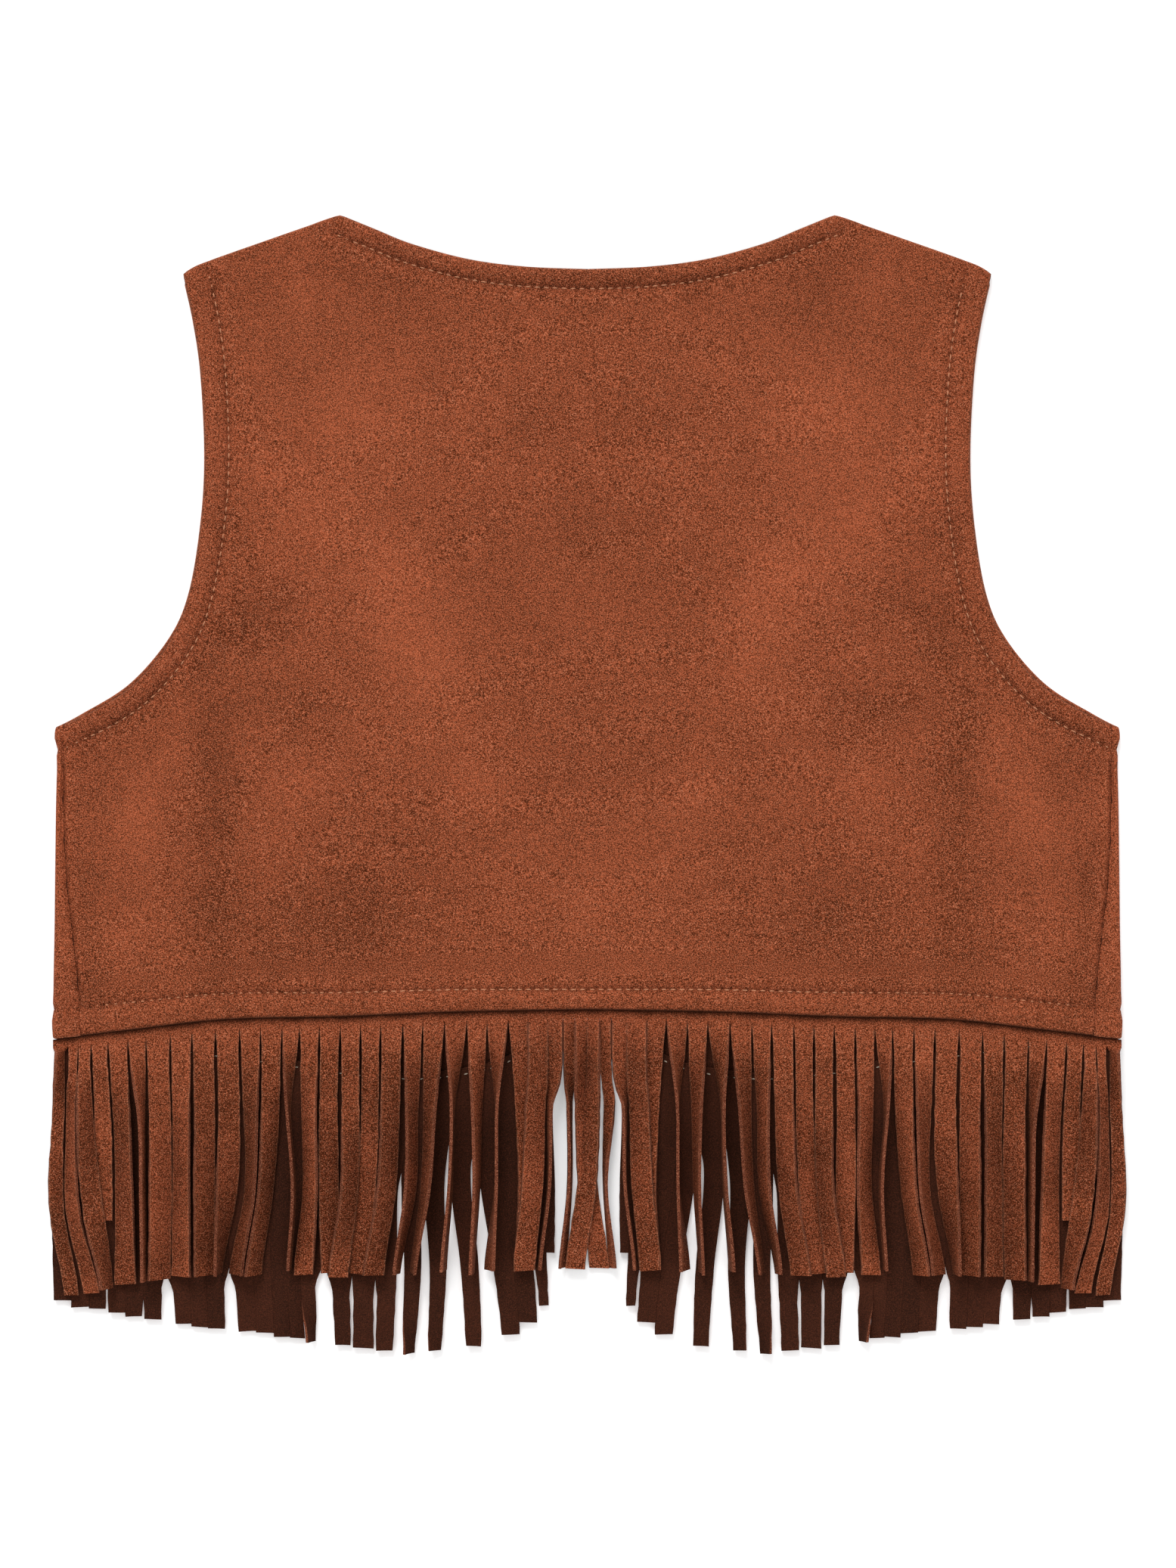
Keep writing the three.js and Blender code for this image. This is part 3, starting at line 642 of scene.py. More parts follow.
BACK_HEM_LINE = line((*BACK_HEM, SIDE_FOOT))
FRONT_HEM_LINE = line((*FRONT_CORNER, *FRONT_HEM))
BACK_OUTLINE = {
    "hem": line(BACK_HEM),
    "seam": line(SIDE_SEAM),
    "armhole": line((SEAM_TOP, *ARMHOLE[1:])),
    "shoulder": line(SHOULDER),
    "neck": line(NECK),
}
# The front's edge runs in from the side along the hem, round its corner and up to the shoulder
FRONT_EDGE = line((*FRONT_HEM[::-1], *FRONT_CORNER[::-1], *FRONT_OPENING))


def back_hem_y(x):
    return np.interp(np.abs(x), *BACK_HEM_LINE.T)


def front_hem_y(x):
    return np.interp(np.abs(x), *FRONT_HEM_LINE.T)


def back_base(x, y):
    """Height of the back's underside: on the fronts, then up over the strip behind the hem."""
    rise = 1 - smooth((y - back_hem_y(x) - HEM_FLAT) / HEM_SLOPE)
    return BACK_BASE + (HEM_BASE - BACK_BASE) * rise


def soft_patches(x, y, table):
    """Sum of soft oval patches, each with its own height or tone."""
    total = np.zeros(np.shape(x))
    for centre_x, centre_y, half_length, half_width, turn, high in table:
        turn = math.radians(turn)
        ahead = (x - centre_x) * math.cos(turn) + (y - centre_y) * math.sin(turn)
        aside = (y - centre_y) * math.cos(turn) - (x - centre_x) * math.sin(turn)
        total += high * np.exp(-((ahead / half_length) ** 2) - (aside / half_width) ** 2)
    return total


def band_width(name, share):
    return mix(SIDES[name].first_band, SIDES[name].last_band, share)


def peek_of(name, share):
    """How far the front's edge shows past the back's: along the armhole, most near the underarm."""
    if name != "armhole":
        return 0
    shrunk = smooth((share - PEEK_SHRINKS) / PEEK_SHRINKS)
    return PEEK + UNDERARM_PEEK * smooth(share / PEEK_GROWN) * (1 - shrunk)


def stitch_line(name):
    """Where the topstitching of a side of the back runs, out to the side seam."""
    samples = BACK_OUTLINE[name]
    share = np.linspace(0, 1, len(samples))
    width = peek_of(name, share) + band_width(name, share)
    return run_on(offset(samples, width), *STITCHES_RUN_ON[name])


STITCHED = {name: stitch_line(name) for name in STITCHES_RUN_ON}


def rounded(away, radius):
    """How far a folded edge drops at a distance from it."""
    return radius - np.sqrt(radius ** 2 - np.maximum(radius - away, 0) ** 2)


def press(away, along, seed, sizes):
    """The groove that a row of stitches presses, and the soft roll beside it."""
    depth = sizes.groove / MM * uneven(GROOVE_UNEVEN, along / GROOVE_LENGTH, seed)
    return ROLL_HEIGHT * bell(away - ROLL_AWAY, ROLL_REACH) - depth * bell(away, GROOVE_REACH)


def seam_dip(away, along, from_ends):
    """How far the suede draws in at the side seam, less where the turned bands cross it."""
    depth = SEAM_DEPTH * uneven(SEAM_UNEVEN, along / SEAM_LENGTH, 2)
    depth = depth * mix(SEAM_AT_BANDS, 1, smooth((from_ends - SEAM_FROM) / SEAM_GROWS))
    return depth * bell(away, SEAM_REACH) + SEAM_DRAW * np.exp(-away / SEAM_DRAW_REACH)


def puffed(share, along, seed, sizes):
    """The swell of a turned edge at a share of its width."""
    high = sizes.puff / MM * uneven(PUFF_UNEVEN, along / PUFF_LENGTH, seed)
    return high * np.sin(np.pi * np.clip(share, 0, 1)) ** PUFF_ROUND


def back_look(x, y, sizes):
    """The back at each place: its two heights, the way to its stitches and edge, its nap with painted
    light, and its painted shade.
    """
    shape = np.shape(x)
    x, y = np.ravel(x), np.ravel(y)
    side = np.where(x < 0, -1, 1)
    half = np.column_stack([np.abs(x), y])
    relief, edge = np.zeros(len(x)), np.full(len(x), FAR)
    from_ends = np.full(len(x), FAR)
    from_side = {}
    for seed, (name, kind) in enumerate(SIDES.items()):
        samples = BACK_OUTLINE[name]
        away, along = nearest(half, run_on(samples, RUN_ON, RUN_ON))
        total = run_lengths(samples)[-1]
        along = np.clip(along - RUN_ON, 0, total)
        away = np.maximum(away - peek_of(name, along / total), 0)
        if name == "neck":
            along = total - along
        from_side[name] = away
        if kind.sewn:
            width = band_width(name, along / total)
            relief += puffed(away / width, side * along, seed, sizes)
            from_ends = np.minimum(from_ends, away)
        if name == "seam":
            seam_along = side * along
        else:
            relief -= rounded(away, kind.fold)
            edge = np.minimum(edge, away)
    relief -= seam_dip(from_side["seam"], seam_along, from_ends)
    stitch = np.full((len(x), 2), FAR)
    for seed, (name, samples) in enumerate(STITCHED.items()):
        away, along = nearest(half, samples)
        if name == "neck":
            along = run_lengths(samples)[-1] - along
        relief += press(away, side * along, seed, sizes)
        closer = away < stitch[:, 1]
        stitch[closer] = np.column_stack([side * along, away])[closer]
    from_sides = np.minimum(edge, from_side["seam"])
    lift = sizes.creasing * soft_patches(x, y, CREASES)
    lift = lift * smooth((from_sides - CREASES_FROM) / CREASES_GROW)
    base = back_base(x, y)
    # Painted shade along the side seam and at the hem and armhole edges
    painted_shade = SEAM_SHADE * bell(from_side["seam"], SEAM_REACH)
    painted_shade = painted_shade * smooth((from_ends - SEAM_SHADE_FROM) / SEAM_GROWS)
    painted_shade += (
        HEM_SHADE * bell(from_side["hem"], HEM_SHADE_REACH)
        + ARMHOLE_SHADE * bell(from_side["armhole"], ARMHOLE_SHADE_REACH)
    )
    under_fold = UNDER_FOLD_SHARE * rounded(from_side["hem"], UNDER_FOLD)
    look = {
        "under": base + np.maximum(lift, 0) + under_fold,
        "top": base + BACK_WALL + lift + relief,
        "edge": edge,
        "nap_and_painted_light": soft_patches(half[:, 0], y, NAP_AND_PAINTED_LIGHT_PATCHES),
        "painted_shade": painted_shade,
    }
    look = {name: values.reshape(shape) for name, values in look.items()}
    look["stitch"] = stitch.reshape(*shape, 2)
    return look


def grid(outer, inner, edge, stitch=None, nap_and_painted_light=0.0, tone=0.0, turned=0.0, painted_shade=0.0):
    """Matching points on the two sides of a sheet, with what its leather shows there.

    Where it is turned, the inner side shows the leather's outer side, folded over.
    """
    shape = outer.shape[:2]
    if stitch is None:
        stitch = np.full((*shape, 2), FAR)
    return {
        "outer": outer,
        "inner": inner,
        "edge": np.broadcast_to(edge, shape),
        "nap_and_painted_light": np.broadcast_to(nap_and_painted_light, shape),
        "tone": np.broadcast_to(tone, shape),
        "turned": np.broadcast_to(turned, shape),
        "painted_shade": np.broadcast_to(painted_shade, shape),
        "stitch": stitch,
    }


def other_half(part):
    """A grid of the right half, mirrored to the left."""
    flip = np.array([-1, 1, 1])
    made = {name: values[:, ::-1] for name, values in part.items()}
    made["outer"] = made["outer"] * flip
    made["inner"] = made["inner"] * flip
    return made


def shell(name, grids, materials):
    """A closed sheet from grids that share points, with a rim round what is left open.

    The materials are those of the outer side, the inner side and the rim.
    """
    def gathered(value, width):
        return np.concatenate([np.reshape(part[value], (-1, width)) for part in grids])

    outer, inner = gathered("outer", 3), gathered("inner", 3)
    keys = np.round(outer * KEY_STEPS).astype(np.int64)
    _, first, number = np.unique(keys, axis=0, return_index=True, return_inverse=True)
    number = number.reshape(-1)
    quads, start = [], 0
    for part in grids:
        rows, columns = part["outer"].shape[:2]
        n = number[start:start + rows * columns].reshape(rows, columns)
        quads.append(np.stack([n[:-1, :-1], n[:-1, 1:], n[1:, 1:], n[1:, :-1]], axis=-1).reshape(-1, 4))
        start += rows * columns
    faces = []
    for quad in np.concatenate(quads).tolist():
        face = [n for i, n in enumerate(quad) if n != quad[i - 1]]
        if len(set(face)) > 2:
            faces.append(face)
    edges = {(face[i - 1], n) for face in faces for i, n in enumerate(face)}
    count = len(first)
    under = [[count + n for n in reversed(face)] for face in faces]
    rims = [[b, a, count + a, count + b] for a, b in edges if (b, a) not in edges]
    rims.sort()
    mesh = bpy.data.meshes.new(name)
    points = np.concatenate([outer[first], inner[first]]) * MM
    mesh.from_pydata(points.tolist(), [], faces + under + rims)
    turned = gathered("turned", 1)[first, 0] > 0.5
    kinds = [0] * len(faces) + [0 if turned[face].all() else 1 for face in faces] + [2] * len(rims)
    mesh.polygons.foreach_set("material_index", kinds)
    # Attributes that the materials read, among them painted shade and the nap with its painted light
    for value in ("edge", "nap_and_painted_light", "tone", "painted_shade"):
        add_values(mesh, value, np.tile(gathered(value, 1)[first, 0], 2))
    stitch = np.tile(gathered("stitch", 2)[first], (2, 1))
    add_values(mesh, "stitch", np.column_stack([stitch, np.zeros(len(stitch))]))
    return finished(name, mesh, materials)


def add_values(mesh, name, values):
    """A value or a vector for each point of a mesh, which materials read by its name."""
    kind, field = ("FLOAT", "value") if values.ndim == 1 else ("FLOAT_VECTOR", "vector")
    mesh.attributes.new(name, kind, "POINT").data.foreach_set(field, values.astype(np.float32).ravel())


def finished(name, mesh, materials):
    """An object of a mesh, with its faces turned out, smooth but for its sharp edges."""
    work = bmesh.new()
    work.from_mesh(mesh)
    if work.calc_volume(signed=True) < 0:
        bmesh.ops.reverse_faces(work, faces=work.faces)
    work.to_mesh(mesh)
    work.free()
    mesh.shade_smooth()
    mesh.set_sharp_from_angle(angle=SHARP_ANGLE)
    for material in materials:
        mesh.materials.append(material)
    piece = bpy.data.objects.new(name, mesh)
    bpy.context.scene.collection.objects.link(piece)
    return piece


def corner_move(before, after, first, second):
    """How far a corner moves when the edges before and after it move in by two distances."""
    a, b = (-before[1], before[0]), (-after[1], after[0])
    spread = a[0] * b[1] - a[1] * b[0]
    return np.array([first * b[1] - second * a[1], second * a[0] - first * b[0]]) / spread


def inset_outline(reach):
    """The back's outline moved in by a distance on each side, as a row of points for each side."""
    names = list(BACK_OUTLINE)
    turns = [(heading(BACK_OUTLINE[name])[0], reach(name, 0)) for name in names[1:]]
    down_the_centre = ((0, -1), 0)
    ends = []
    for name, (after, far) in zip(names, [*turns, down_the_centre]):
        samples = BACK_OUTLINE[name]
        ends.append(samples[-1] + corner_move(heading(samples)[-1], after, reach(name, 1), far))
    start = BACK_OUTLINE["hem"][0] + (0, reach("hem", 0))
    rows = {}
    for name, end in zip(names, ends):
        samples = BACK_OUTLINE[name]
        moved = offset(samples, reach(name, np.linspace(0, 1, len(samples))))
        low, high = (int(np.argmin(np.linalg.norm(moved - corner, axis=1))) for corner in (start, end))
        rows[name] = spaced(np.vstack([start, moved[low + 2:high - 1], end]), SIDES[name].segments)
        start = end
    return rows


def field(bottom, top, left, right, low_shares, high_shares):
    """A four-sided field of points between its edges. Rows follow the heights of the right edge."""
    foot, head = right[0, 1], right[-1, 1]
    v = ((right[:, 1] - foot) / (head - foot))[:, None, None]
    u = mix(low_shares[None, :, None], high_shares[None, :, None], v)
    rows = mix(bottom[None], top[None], v)
    columns = mix(left[:, None], right[:, None], u)
    corners = mix(mix(bottom[0], bottom[-1], u), mix(top[0], top[-1], u), v)
    return rows + columns - corners


def left_edge(samples, right):
    """The left edge of a field, with a point for each row of its right edge."""
    v = (right[:, 1] - right[0, 1]) / (right[-1, 1] - right[0, 1])
    y = mix(samples[0, 1], samples[-1, 1], v)
    return np.column_stack([np.interp(y, samples[:, 1], samples[:, 0]), y])


def at_heights(places, heights):
    return np.concatenate([places, heights[..., None]], axis=-1)


def back_grids(sizes):
    """The back as grids: its middle, the bands along its edges and the lip under the shoulder."""
    def ring(at, lip):
        def reach(name, share):
            inside_lip = lip * max(0, 1 - at) if name == "shoulder" else 0
            return peek_of(name, share) + at * band_width(name, share) + inside_lip
        return inset_outline(reach)

    rings = [ring(at, 0) for at in EDGE_LINES]
    inner_rings = [ring(at, BACK_WALL) for at in EDGE_LINES]
    last = rings[-1]
    right = np.vstack([last["seam"], last["armhole"][1:]])
    top = np.vstack([last["neck"][::-1], last["shoulder"][::-1][1:]])
    shares = np.linspace(0, 1, len(top))
    centre = np.array([last["hem"][0], top[0]])
    inside = field(last["hem"], top, left_edge(centre, right), right, shares, shares)

    def back_grid(places, inner_places):
        look = back_look(places[..., 0], places[..., 1], sizes)
        return grid(
            at_heights(places, look["top"]), at_heights(inner_places, look["under"]),
            look["edge"], look["stitch"], look["nap_and_painted_light"], painted_shade=look["painted_shade"],
        )

    flip = np.array([-1, 1])
    grids = [back_grid(inside, inside), back_grid(inside[:, ::-1] * flip, inside[:, ::-1] * flip)]
    for name in SIDES:
        places = np.stack([ring[name] for ring in rings])
        inner_places = np.stack([ring[name] for ring in inner_rings])
        grids.append(back_grid(places, inner_places))
        grids.append(back_grid(places[:, ::-1] * flip, inner_places[:, ::-1] * flip))
        if name == "shoulder":
            grids += [lip_below(part) for part in grids[-2:]]
    return grids


def lip_below(part):
    """The back's shoulder edge, turned down to the surface outside the front's edge."""
    shares = np.linspace(0, 1, LIP_ROWS)[:, None]
    made = {name: np.repeat(values[:1], LIP_ROWS, axis=0) for name, values in part.items()}
    for side in ("outer", "inner"):
        made[side] = made[side].copy()
        made[side][..., 2] = made[side][..., 2] * shares
    return made


def graded(length, count):
    """Shares of a length, close together near both its ends."""
    fine = np.array(FINE_STEPS) / length
    middle = np.linspace(fine[-1], 1 - fine[-1], count - 2 * len(fine) + 3)
    return np.concatenate([fine[:-1], middle, 1 - fine[:-1][::-1]])


def front_lines():
    """Where the front is topstitched, and the edges that it has."""
    changed = smooth(np.linspace(0, FRONT_BAND_CHANGES, len(FRONT_EDGE)))
    width = mix(FRONT_HEM_BAND, FRONT_BAND, changed)
    armhole = line(ARMHOLE)
    across = np.linspace(0, 1, len(armhole))
    return (
        (FRONT_EDGE, offset(FRONT_EDGE, -width)),
        (armhole, offset(armhole, PEEK + band_width("armhole", across))),
    )


def front_look(places, fold, sizes):
    """The front's relief on its right side, its edge and stitches, at points of its flat part."""
    flat = places.reshape(-1, 2)
    relief, edge = np.zeros(len(flat)), np.full(len(flat), FAR)
    stitch = np.full((len(flat), 2), FAR)
    for seed, (samples, stitches) in enumerate(front_lines()):
        away, _ = nearest(flat, run_on(samples, RUN_ON, RUN_ON))
        relief += rounded(away, FRONT_FOLD)
        edge = np.minimum(edge, away)
        away, along = nearest(flat, stitches)
        relief -= press(away, along, seed + 4, sizes)
        closer = away < stitch[:, 1]
        stitch[closer] = np.column_stack([along, away])[closer]
    from_fold, _ = nearest(flat, fold)
    relief = np.maximum(relief, 0) * smooth(from_fold / FRONT_FLAT)
    shape = places.shape[:2]
    return relief.reshape(shape), edge.reshape(shape), stitch.reshape(*shape, 2)


def front_grids(sizes):
    """A front: its flat part with the right side down, and the wrap round the side fold."""
    fold_line = line(SIDE_FOLD)
    seam_rows = graded(run_lengths(fold_line)[-1], SIDES["seam"].segments)
    fold, seam = spaced(fold_line, seam_rows), spaced(line(SIDE_SEAM), seam_rows)
    radius = (back_base(fold[:, 0], fold[:, 1]) + BACK_WALL) / 2
    side = fold - np.column_stack([radius, np.zeros(len(fold))])
    shoulder = offset(line(SHOULDER), SHOULDER_IN)
    tip = shoulder[0]
    armhole = line(ARMHOLE)
    armhole = np.vstack([side[-1], armhole[1:][armhole[1:, 1] < tip[1] - 1], tip])
    right = np.vstack([side, spaced(armhole, SIDES["armhole"].segments)[1:]])
    opening = line((*FRONT_CORNER[::-1], *FRONT_OPENING))
    hem = line((FRONT_CORNER[-1], *FRONT_HEM[:-1], tuple(side[0])))
    between = shoulder[(shoulder[:, 0] > opening[-1, 0] + 1) & (shoulder[:, 0] < tip[0] - 1)]
    top = np.vstack([opening[-1], between[::-1], tip])
    low_shares = graded(run_lengths(hem)[-1], FRONT_ACROSS)
    high_shares = graded(run_lengths(top)[-1], FRONT_ACROSS)
    places = field(
        spaced(hem, low_shares), spaced(top, high_shares), left_edge(opening, right), right,
        low_shares, high_shares,
    )
    relief, edge, stitch = front_look(places, side, sizes)
    wrong = FRONT_WALL - rounded(edge, FRONT_FOLD)
    from_armhole, _ = nearest(places.reshape(-1, 2), line(ARMHOLE))
    turned = from_armhole.reshape(edge.shape) < FRONT_BAND
    panel = grid(
        at_heights(places, relief), at_heights(places, wrong), edge, stitch, turned=turned
    )

    # Round the fold, then flat to the side seam, whose edge rolls down
    seam_x = seam[:, 0] + SEAM_GAP
    turn = np.linspace(-0.5, 0.5, FOLD_STEPS + 1) * math.pi
    y = mix(side[:, 1:], seam[:, 1:], np.linspace(0, 0.5, FOLD_STEPS + 1)[None])
    flat_y = mix(side[:, 1:], seam[:, 1:], np.linspace(0.5, 1, FLAT_STEPS + 1)[None, 1:])
    closer = 1 - (1 - np.linspace(0, 1, FLAT_STEPS + 1)) ** CLOSER
    flat_x = mix(side[:, :1], seam_x[:, None], closer[None, 1:])
    y = np.hstack([y, flat_y])
    foot, head = y - y[:1], y[-1:] - y
    around = smooth(np.hstack([turn / math.pi + 0.5, np.ones(FLAT_STEPS)]) * 2)[None]
    seam_gap = np.hstack([np.full((len(y), len(turn)), FAR), flat_x - seam_x[:, None]])
    from_foot, from_head = np.abs(foot - WRAP_FOOT_BAND), np.abs(head - WRAP_HEAD_BAND)
    even = foot * 0
    swell = (
        WRAP_FOOT_PUFF * puffed(foot / WRAP_FOOT_BAND, even, 1, sizes)
        + WRAP_HEAD_PUFF * puffed(head / WRAP_HEAD_BAND, even, 2, sizes)
    )
    swell -= rounded(foot, WRAP_FOOT_FOLD) + rounded(head, WRAP_HEAD_FOLD)
    swell -= seam_dip(seam_gap, y, np.minimum(foot, head))
    swell += press(from_foot, even, 3, sizes) + press(from_head, even, 4, sizes)

    def wrapped(deep):
        middle = radius[:, None]
        out = middle - deep
        on_turn = out[:, :len(turn)]
        x = np.hstack([side[:, :1] + on_turn * np.cos(turn), flat_x])
        z = np.hstack([middle + on_turn * np.sin(turn), (middle + out)[:, len(turn):]])
        return np.stack([x, y, z], axis=-1)

    outer, inner = wrapped(-swell * around), wrapped(np.full(y.shape, FRONT_WALL))
    wrap_edge = np.minimum(foot, head)
    across = np.cumsum(np.linalg.norm(np.diff(outer, axis=1, prepend=outer[:, :1]), axis=-1), axis=1)
    wrap_stitch = np.stack([across, np.minimum(from_foot, from_head)], axis=-1)
    # The wrap takes the back's patches, with the painted light on its fold round the side
    wrap = grid(outer, inner, wrap_edge, wrap_stitch, soft_patches(outer[..., 0], y, NAP_AND_PAINTED_LIGHT_PATCHES))
    return panel, wrap


def front_strand_base(x, y):
    """Lowest height of a front strand, which comes down from the hem to just above the surface."""
    hem = np.minimum(front_hem_y(x - STRAND_HALF), front_hem_y(x + STRAND_HALF))
    return mix(FRONT_FRINGE_BASE, FLOOR_CLEAR, smooth((hem - UNCUT - y) / DROP))


def back_strand_base(x, y):
    """Lowest height of a back strand: over the front strands, or down to the surface between them."""
    opening = mix(BACK_FRINGE_BASE, FLOOR_CLEAR, smooth((back_hem_y(x) - UNCUT - y) / CENTRE_DROP))
    return np.where(x < OPENING_EDGE, opening, front_strand_base(x, y) + FRINGE_WALL + GAP + RIDE)


def turn_for(face, width):
    """The turn that shows a strip of a given width as narrow as the face that is seen."""
    return np.arccos(np.clip((face - FRINGE_WALL) / (width - FRINGE_WALL), 0, 1))


def strand_shares():
    """Shares of a strand's length, closer together near the root."""
    return np.linspace(0, 1, ALONG_STRAND + 1)[1:] ** STRAND_ROWS_POWER


def back_strands(table, inner_edges):
    """Path, width and turn of each back strand."""
    share = strand_shares()
    made = []
    for n, ((root, places, faces, over, tip), inner_x) in enumerate(zip(table, inner_edges)):
        start, root_width = (root + inner_x) / 2, root - inner_x
        width = mix(root_width, max(root_width, *faces), smooth(share / WIDTH_SETTLES))
        seen = share
        if root < CENTRE_ROOTS:
            seen = np.where(share < 1 / 3, (3 * share) ** CENTRE_POWER / 3, share)
            width = width + CENTRE_CLOSED * (1 - smooth(share / CLOSED_UNTIL))
        else:
            shrunk = smooth((share - SLIT_SHRINKS) / SLIT_SHRINKS)
            width = width - SLIT_OPENS * smooth(share / SLIT_OPENS_BY) * (1 - shrunk)
        x = spline((start, *places), seen)
        if n == 0:
            flare = SIDE_FLARE * (1 - smooth(share / FLARE_ENDS))
            x, width = x + flare / 2, width + flare
        y = mix(back_hem_y(start) - UNCUT, tip, share)
        low = back_strand_base(x, y) + over * OVERLAP_LIFT * smooth(share / OVERLAP_RISE)
        turn = (-1 if n % TURN_STEP == 1 else 1) * turn_for(spline((root_width, *faces), seen), width)
        made.append((x, y, low, width, turn, smooth(share / SETTLES)))
    return made


def front_strands(table, inner_edges):
    """Path, width and turn of each front strand. Each lies close to its neighbour until they part."""
    share = strand_shares()
    wavy = smooth((share - WAVY_FROM) / WAVY_OVER)
    parts_from = [row[3] for row in table]
    middles = []
    for (root, places, _, _, tip), inner_x in zip(table, inner_edges):
        start = (root + inner_x) / 2
        middles.append((spline((start, *places), share), mix(front_hem_y(start) - UNCUT, tip, share)))
    made = []
    for n, ((root, _, face, _, tip), inner_x) in enumerate(zip(table, inner_edges)):
        middle, y = middles[n]
        on_edge = tip < TURN_BEYOND
        tip_width = max(face, NARROWEST_TIP) if on_edge else face
        free = mix(root - inner_x, tip_width, share ** 2) / 2
        reach = []
        for side in (-1, 1):
            near = free
            if 0 <= n + side < len(table):
                next_x, next_y = middles[n + side]
                to_next = np.abs(np.interp(-y, -next_y, next_x) - middle) / 2 - STRANDS_CLEAR
                parted = smooth((share - parts_from[max(n, n + side)]) / PARTS_OVER)
                near = mix(np.minimum(to_next, WIDEST_HALF), free, parted)
            reach.append(near)
        outer, inner = middle + reach[0], middle - reach[1]
        x = (outer + inner) / 2
        turning = smooth((share - FRONT_TURN_START) / (1 - FRONT_TURN_START))
        turn = on_edge * turn_for(face, max(tip_width, face + LEAST_TURN)) * turning
        made.append((x, y, front_strand_base(x, y), outer - inner, turn, wavy))
    return made


def strand_grid(path, root_row, base, cupping, root_shade, draw):
    """A strand from its row at the strip: cupped a little, with edges cut by hand and its own tone."""
    x, y, low, width, turn, loose = (values[:, None] for values in path)
    share = strand_shares()[:, None]
    across = np.array(STRAND_LINES)[None]
    seed, slant, curl, tone, cup = draw.uniform(STRAND_LEAST, STRAND_MOST)

    def wave(high, count, step):
        return high * waver(share * count, seed + step)

    settled = smooth(share / SETTLES)
    half = width / 2 * (1 + loose * wave(*WIDTH_WAVE))
    low = mix(base, low, smooth(share / LEAVES_STRIP))
    low = low + settled * (LIE_WAVE[0] + wave(*LIE_WAVE))
    low = low + curl * smooth((share - CURLS_FROM) / (1 - CURLS_FROM)) ** 2
    bow = cupping * cup * settled * (across ** 2 - CUP_LEVEL)
    lean = np.stack([np.cos(turn), np.sin(turn)], axis=-1)
    thick = np.stack([-np.sin(turn), np.cos(turn)], axis=-1)
    middle_z = low + half * np.abs(np.sin(turn)) + FRINGE_WALL / 2 * np.cos(turn)
    edge_wave = loose * wave(*EDGE_WAVE) * np.sign(across)
    flat = np.stack([x + 0 * across, middle_z + 0 * across], axis=-1)
    flat = flat + lean * (across * half + edge_wave)[..., None] + thick * bow[..., None]
    down = y + slant * across * half * share

    def points(side):
        at = flat + side * thick * FRINGE_WALL / 2
        return np.stack([at[..., 0], down, at[..., 1]], axis=-1)

    outer = np.concatenate([root_row["outer"], points(1)])
    inner = np.concatenate([root_row["inner"], points(-1)])
    edge = np.concatenate([0 * across + FAR, (1 - np.abs(across)) * half])
    nap_and_painted_light = np.concatenate([np.zeros((1, 1)), settled * wave(*NAP_WAVE)])
    tone = tone * np.concatenate([np.zeros((1, 1)), settled])
    # Painted shade: dark lines along the slits, on the lower side of a turned strand and near its root
    tilt = np.abs(np.sin(turn))
    below = (1 - across * np.sign(turn)) / 2
    painted_shade = SLIT_SHADE * (np.abs(across) == 1) * (1 - tilt)
    painted_shade = painted_shade + TURNED_SHADE * tilt * below ** TURNED_SHADE_ROUND
    painted_shade = painted_shade + root_shade * (1 - smooth(share / ROOT_SHADE_REACH))
    painted_shade = np.concatenate([0 * across + root_shade, painted_shade])
    return grid(outer, inner, edge, nap_and_painted_light=nap_and_painted_light, tone=tone, painted_shade=painted_shade)


def fringe_grids(
    table, strip_inner, paths_of, hem_y, base, sizes, seed, flare=0, strip_shade=0, root_shade=0,
):
    """The right half of a fringe: the strip along the hem and the strands that hang from it."""
    draw = np.random.default_rng(seed)
    roots = [root for root, *_ in table]
    inner_edges = [*(root + SLIT for root in roots[1:]), strip_inner]
    across = np.array(STRAND_LINES)
    strip_x = np.concatenate([
        mix(inner_x, root, (1 + across) / 2) for root, inner_x in zip(roots, inner_edges)
    ])
    drop = np.array(STRIP_ROWS)[:, None]
    places = np.stack([strip_x + 0 * drop, hem_y(strip_x) + drop], axis=-1)
    places[:, :len(across), 0] += flare * (1 + across) / 2 * smooth(-drop / FLARE_DROP)
    height = np.full(places.shape[:2], float(base))
    edge = np.full(places.shape[:2], FAR)
    edge[0] = 0
    # Painted shadow of the hem on the strip below it, with a ragged reach, and painted shade at the strand
    # roots
    reach = STRIP_SHADE_REACH * uneven(STRIP_SHADE_UNEVEN, strip_x / STRIP_SHADE_LENGTH, seed)
    painted_shade = strip_shade * bell(np.maximum(-drop, 0), reach) + root_shade
    strip = grid(
        at_heights(places, height + FRINGE_WALL), at_heights(places, height), edge, painted_shade=painted_shade
    )
    grids = [strip]
    for n, path in enumerate(paths_of(table, inner_edges)):
        columns = slice(n * len(across), (n + 1) * len(across))
        root_row = {side: strip[side][-1:, columns] for side in ("outer", "inner")}
        grids.append(strand_grid(path, root_row, base, sizes.cupping / MM, root_shade, draw))
    return grids


def add_node(tree, kind, inputs=None, **settings):
    """A shader node with its settings. Inputs are values, or the outputs that feed them."""
    made = tree.nodes.new(kind)
    for name, value in settings.items():
        setattr(made, name, value)
    return feed(tree, made, inputs or {})


def feed(tree, node, inputs):
    for key, value in inputs.items():
        if isinstance(value, bpy.types.NodeSocket):
            tree.links.new(value, node.inputs[key])
        else:
            node.inputs[key].default_value = value
    return node


def maths(tree, operation, first, second=0.0, third=0.0, clamp=False):
    inputs = {0: first, 1: second, 2: third}
    return add_node(tree, "ShaderNodeMath", inputs, operation=operation, use_clamp=clamp).outputs[0]


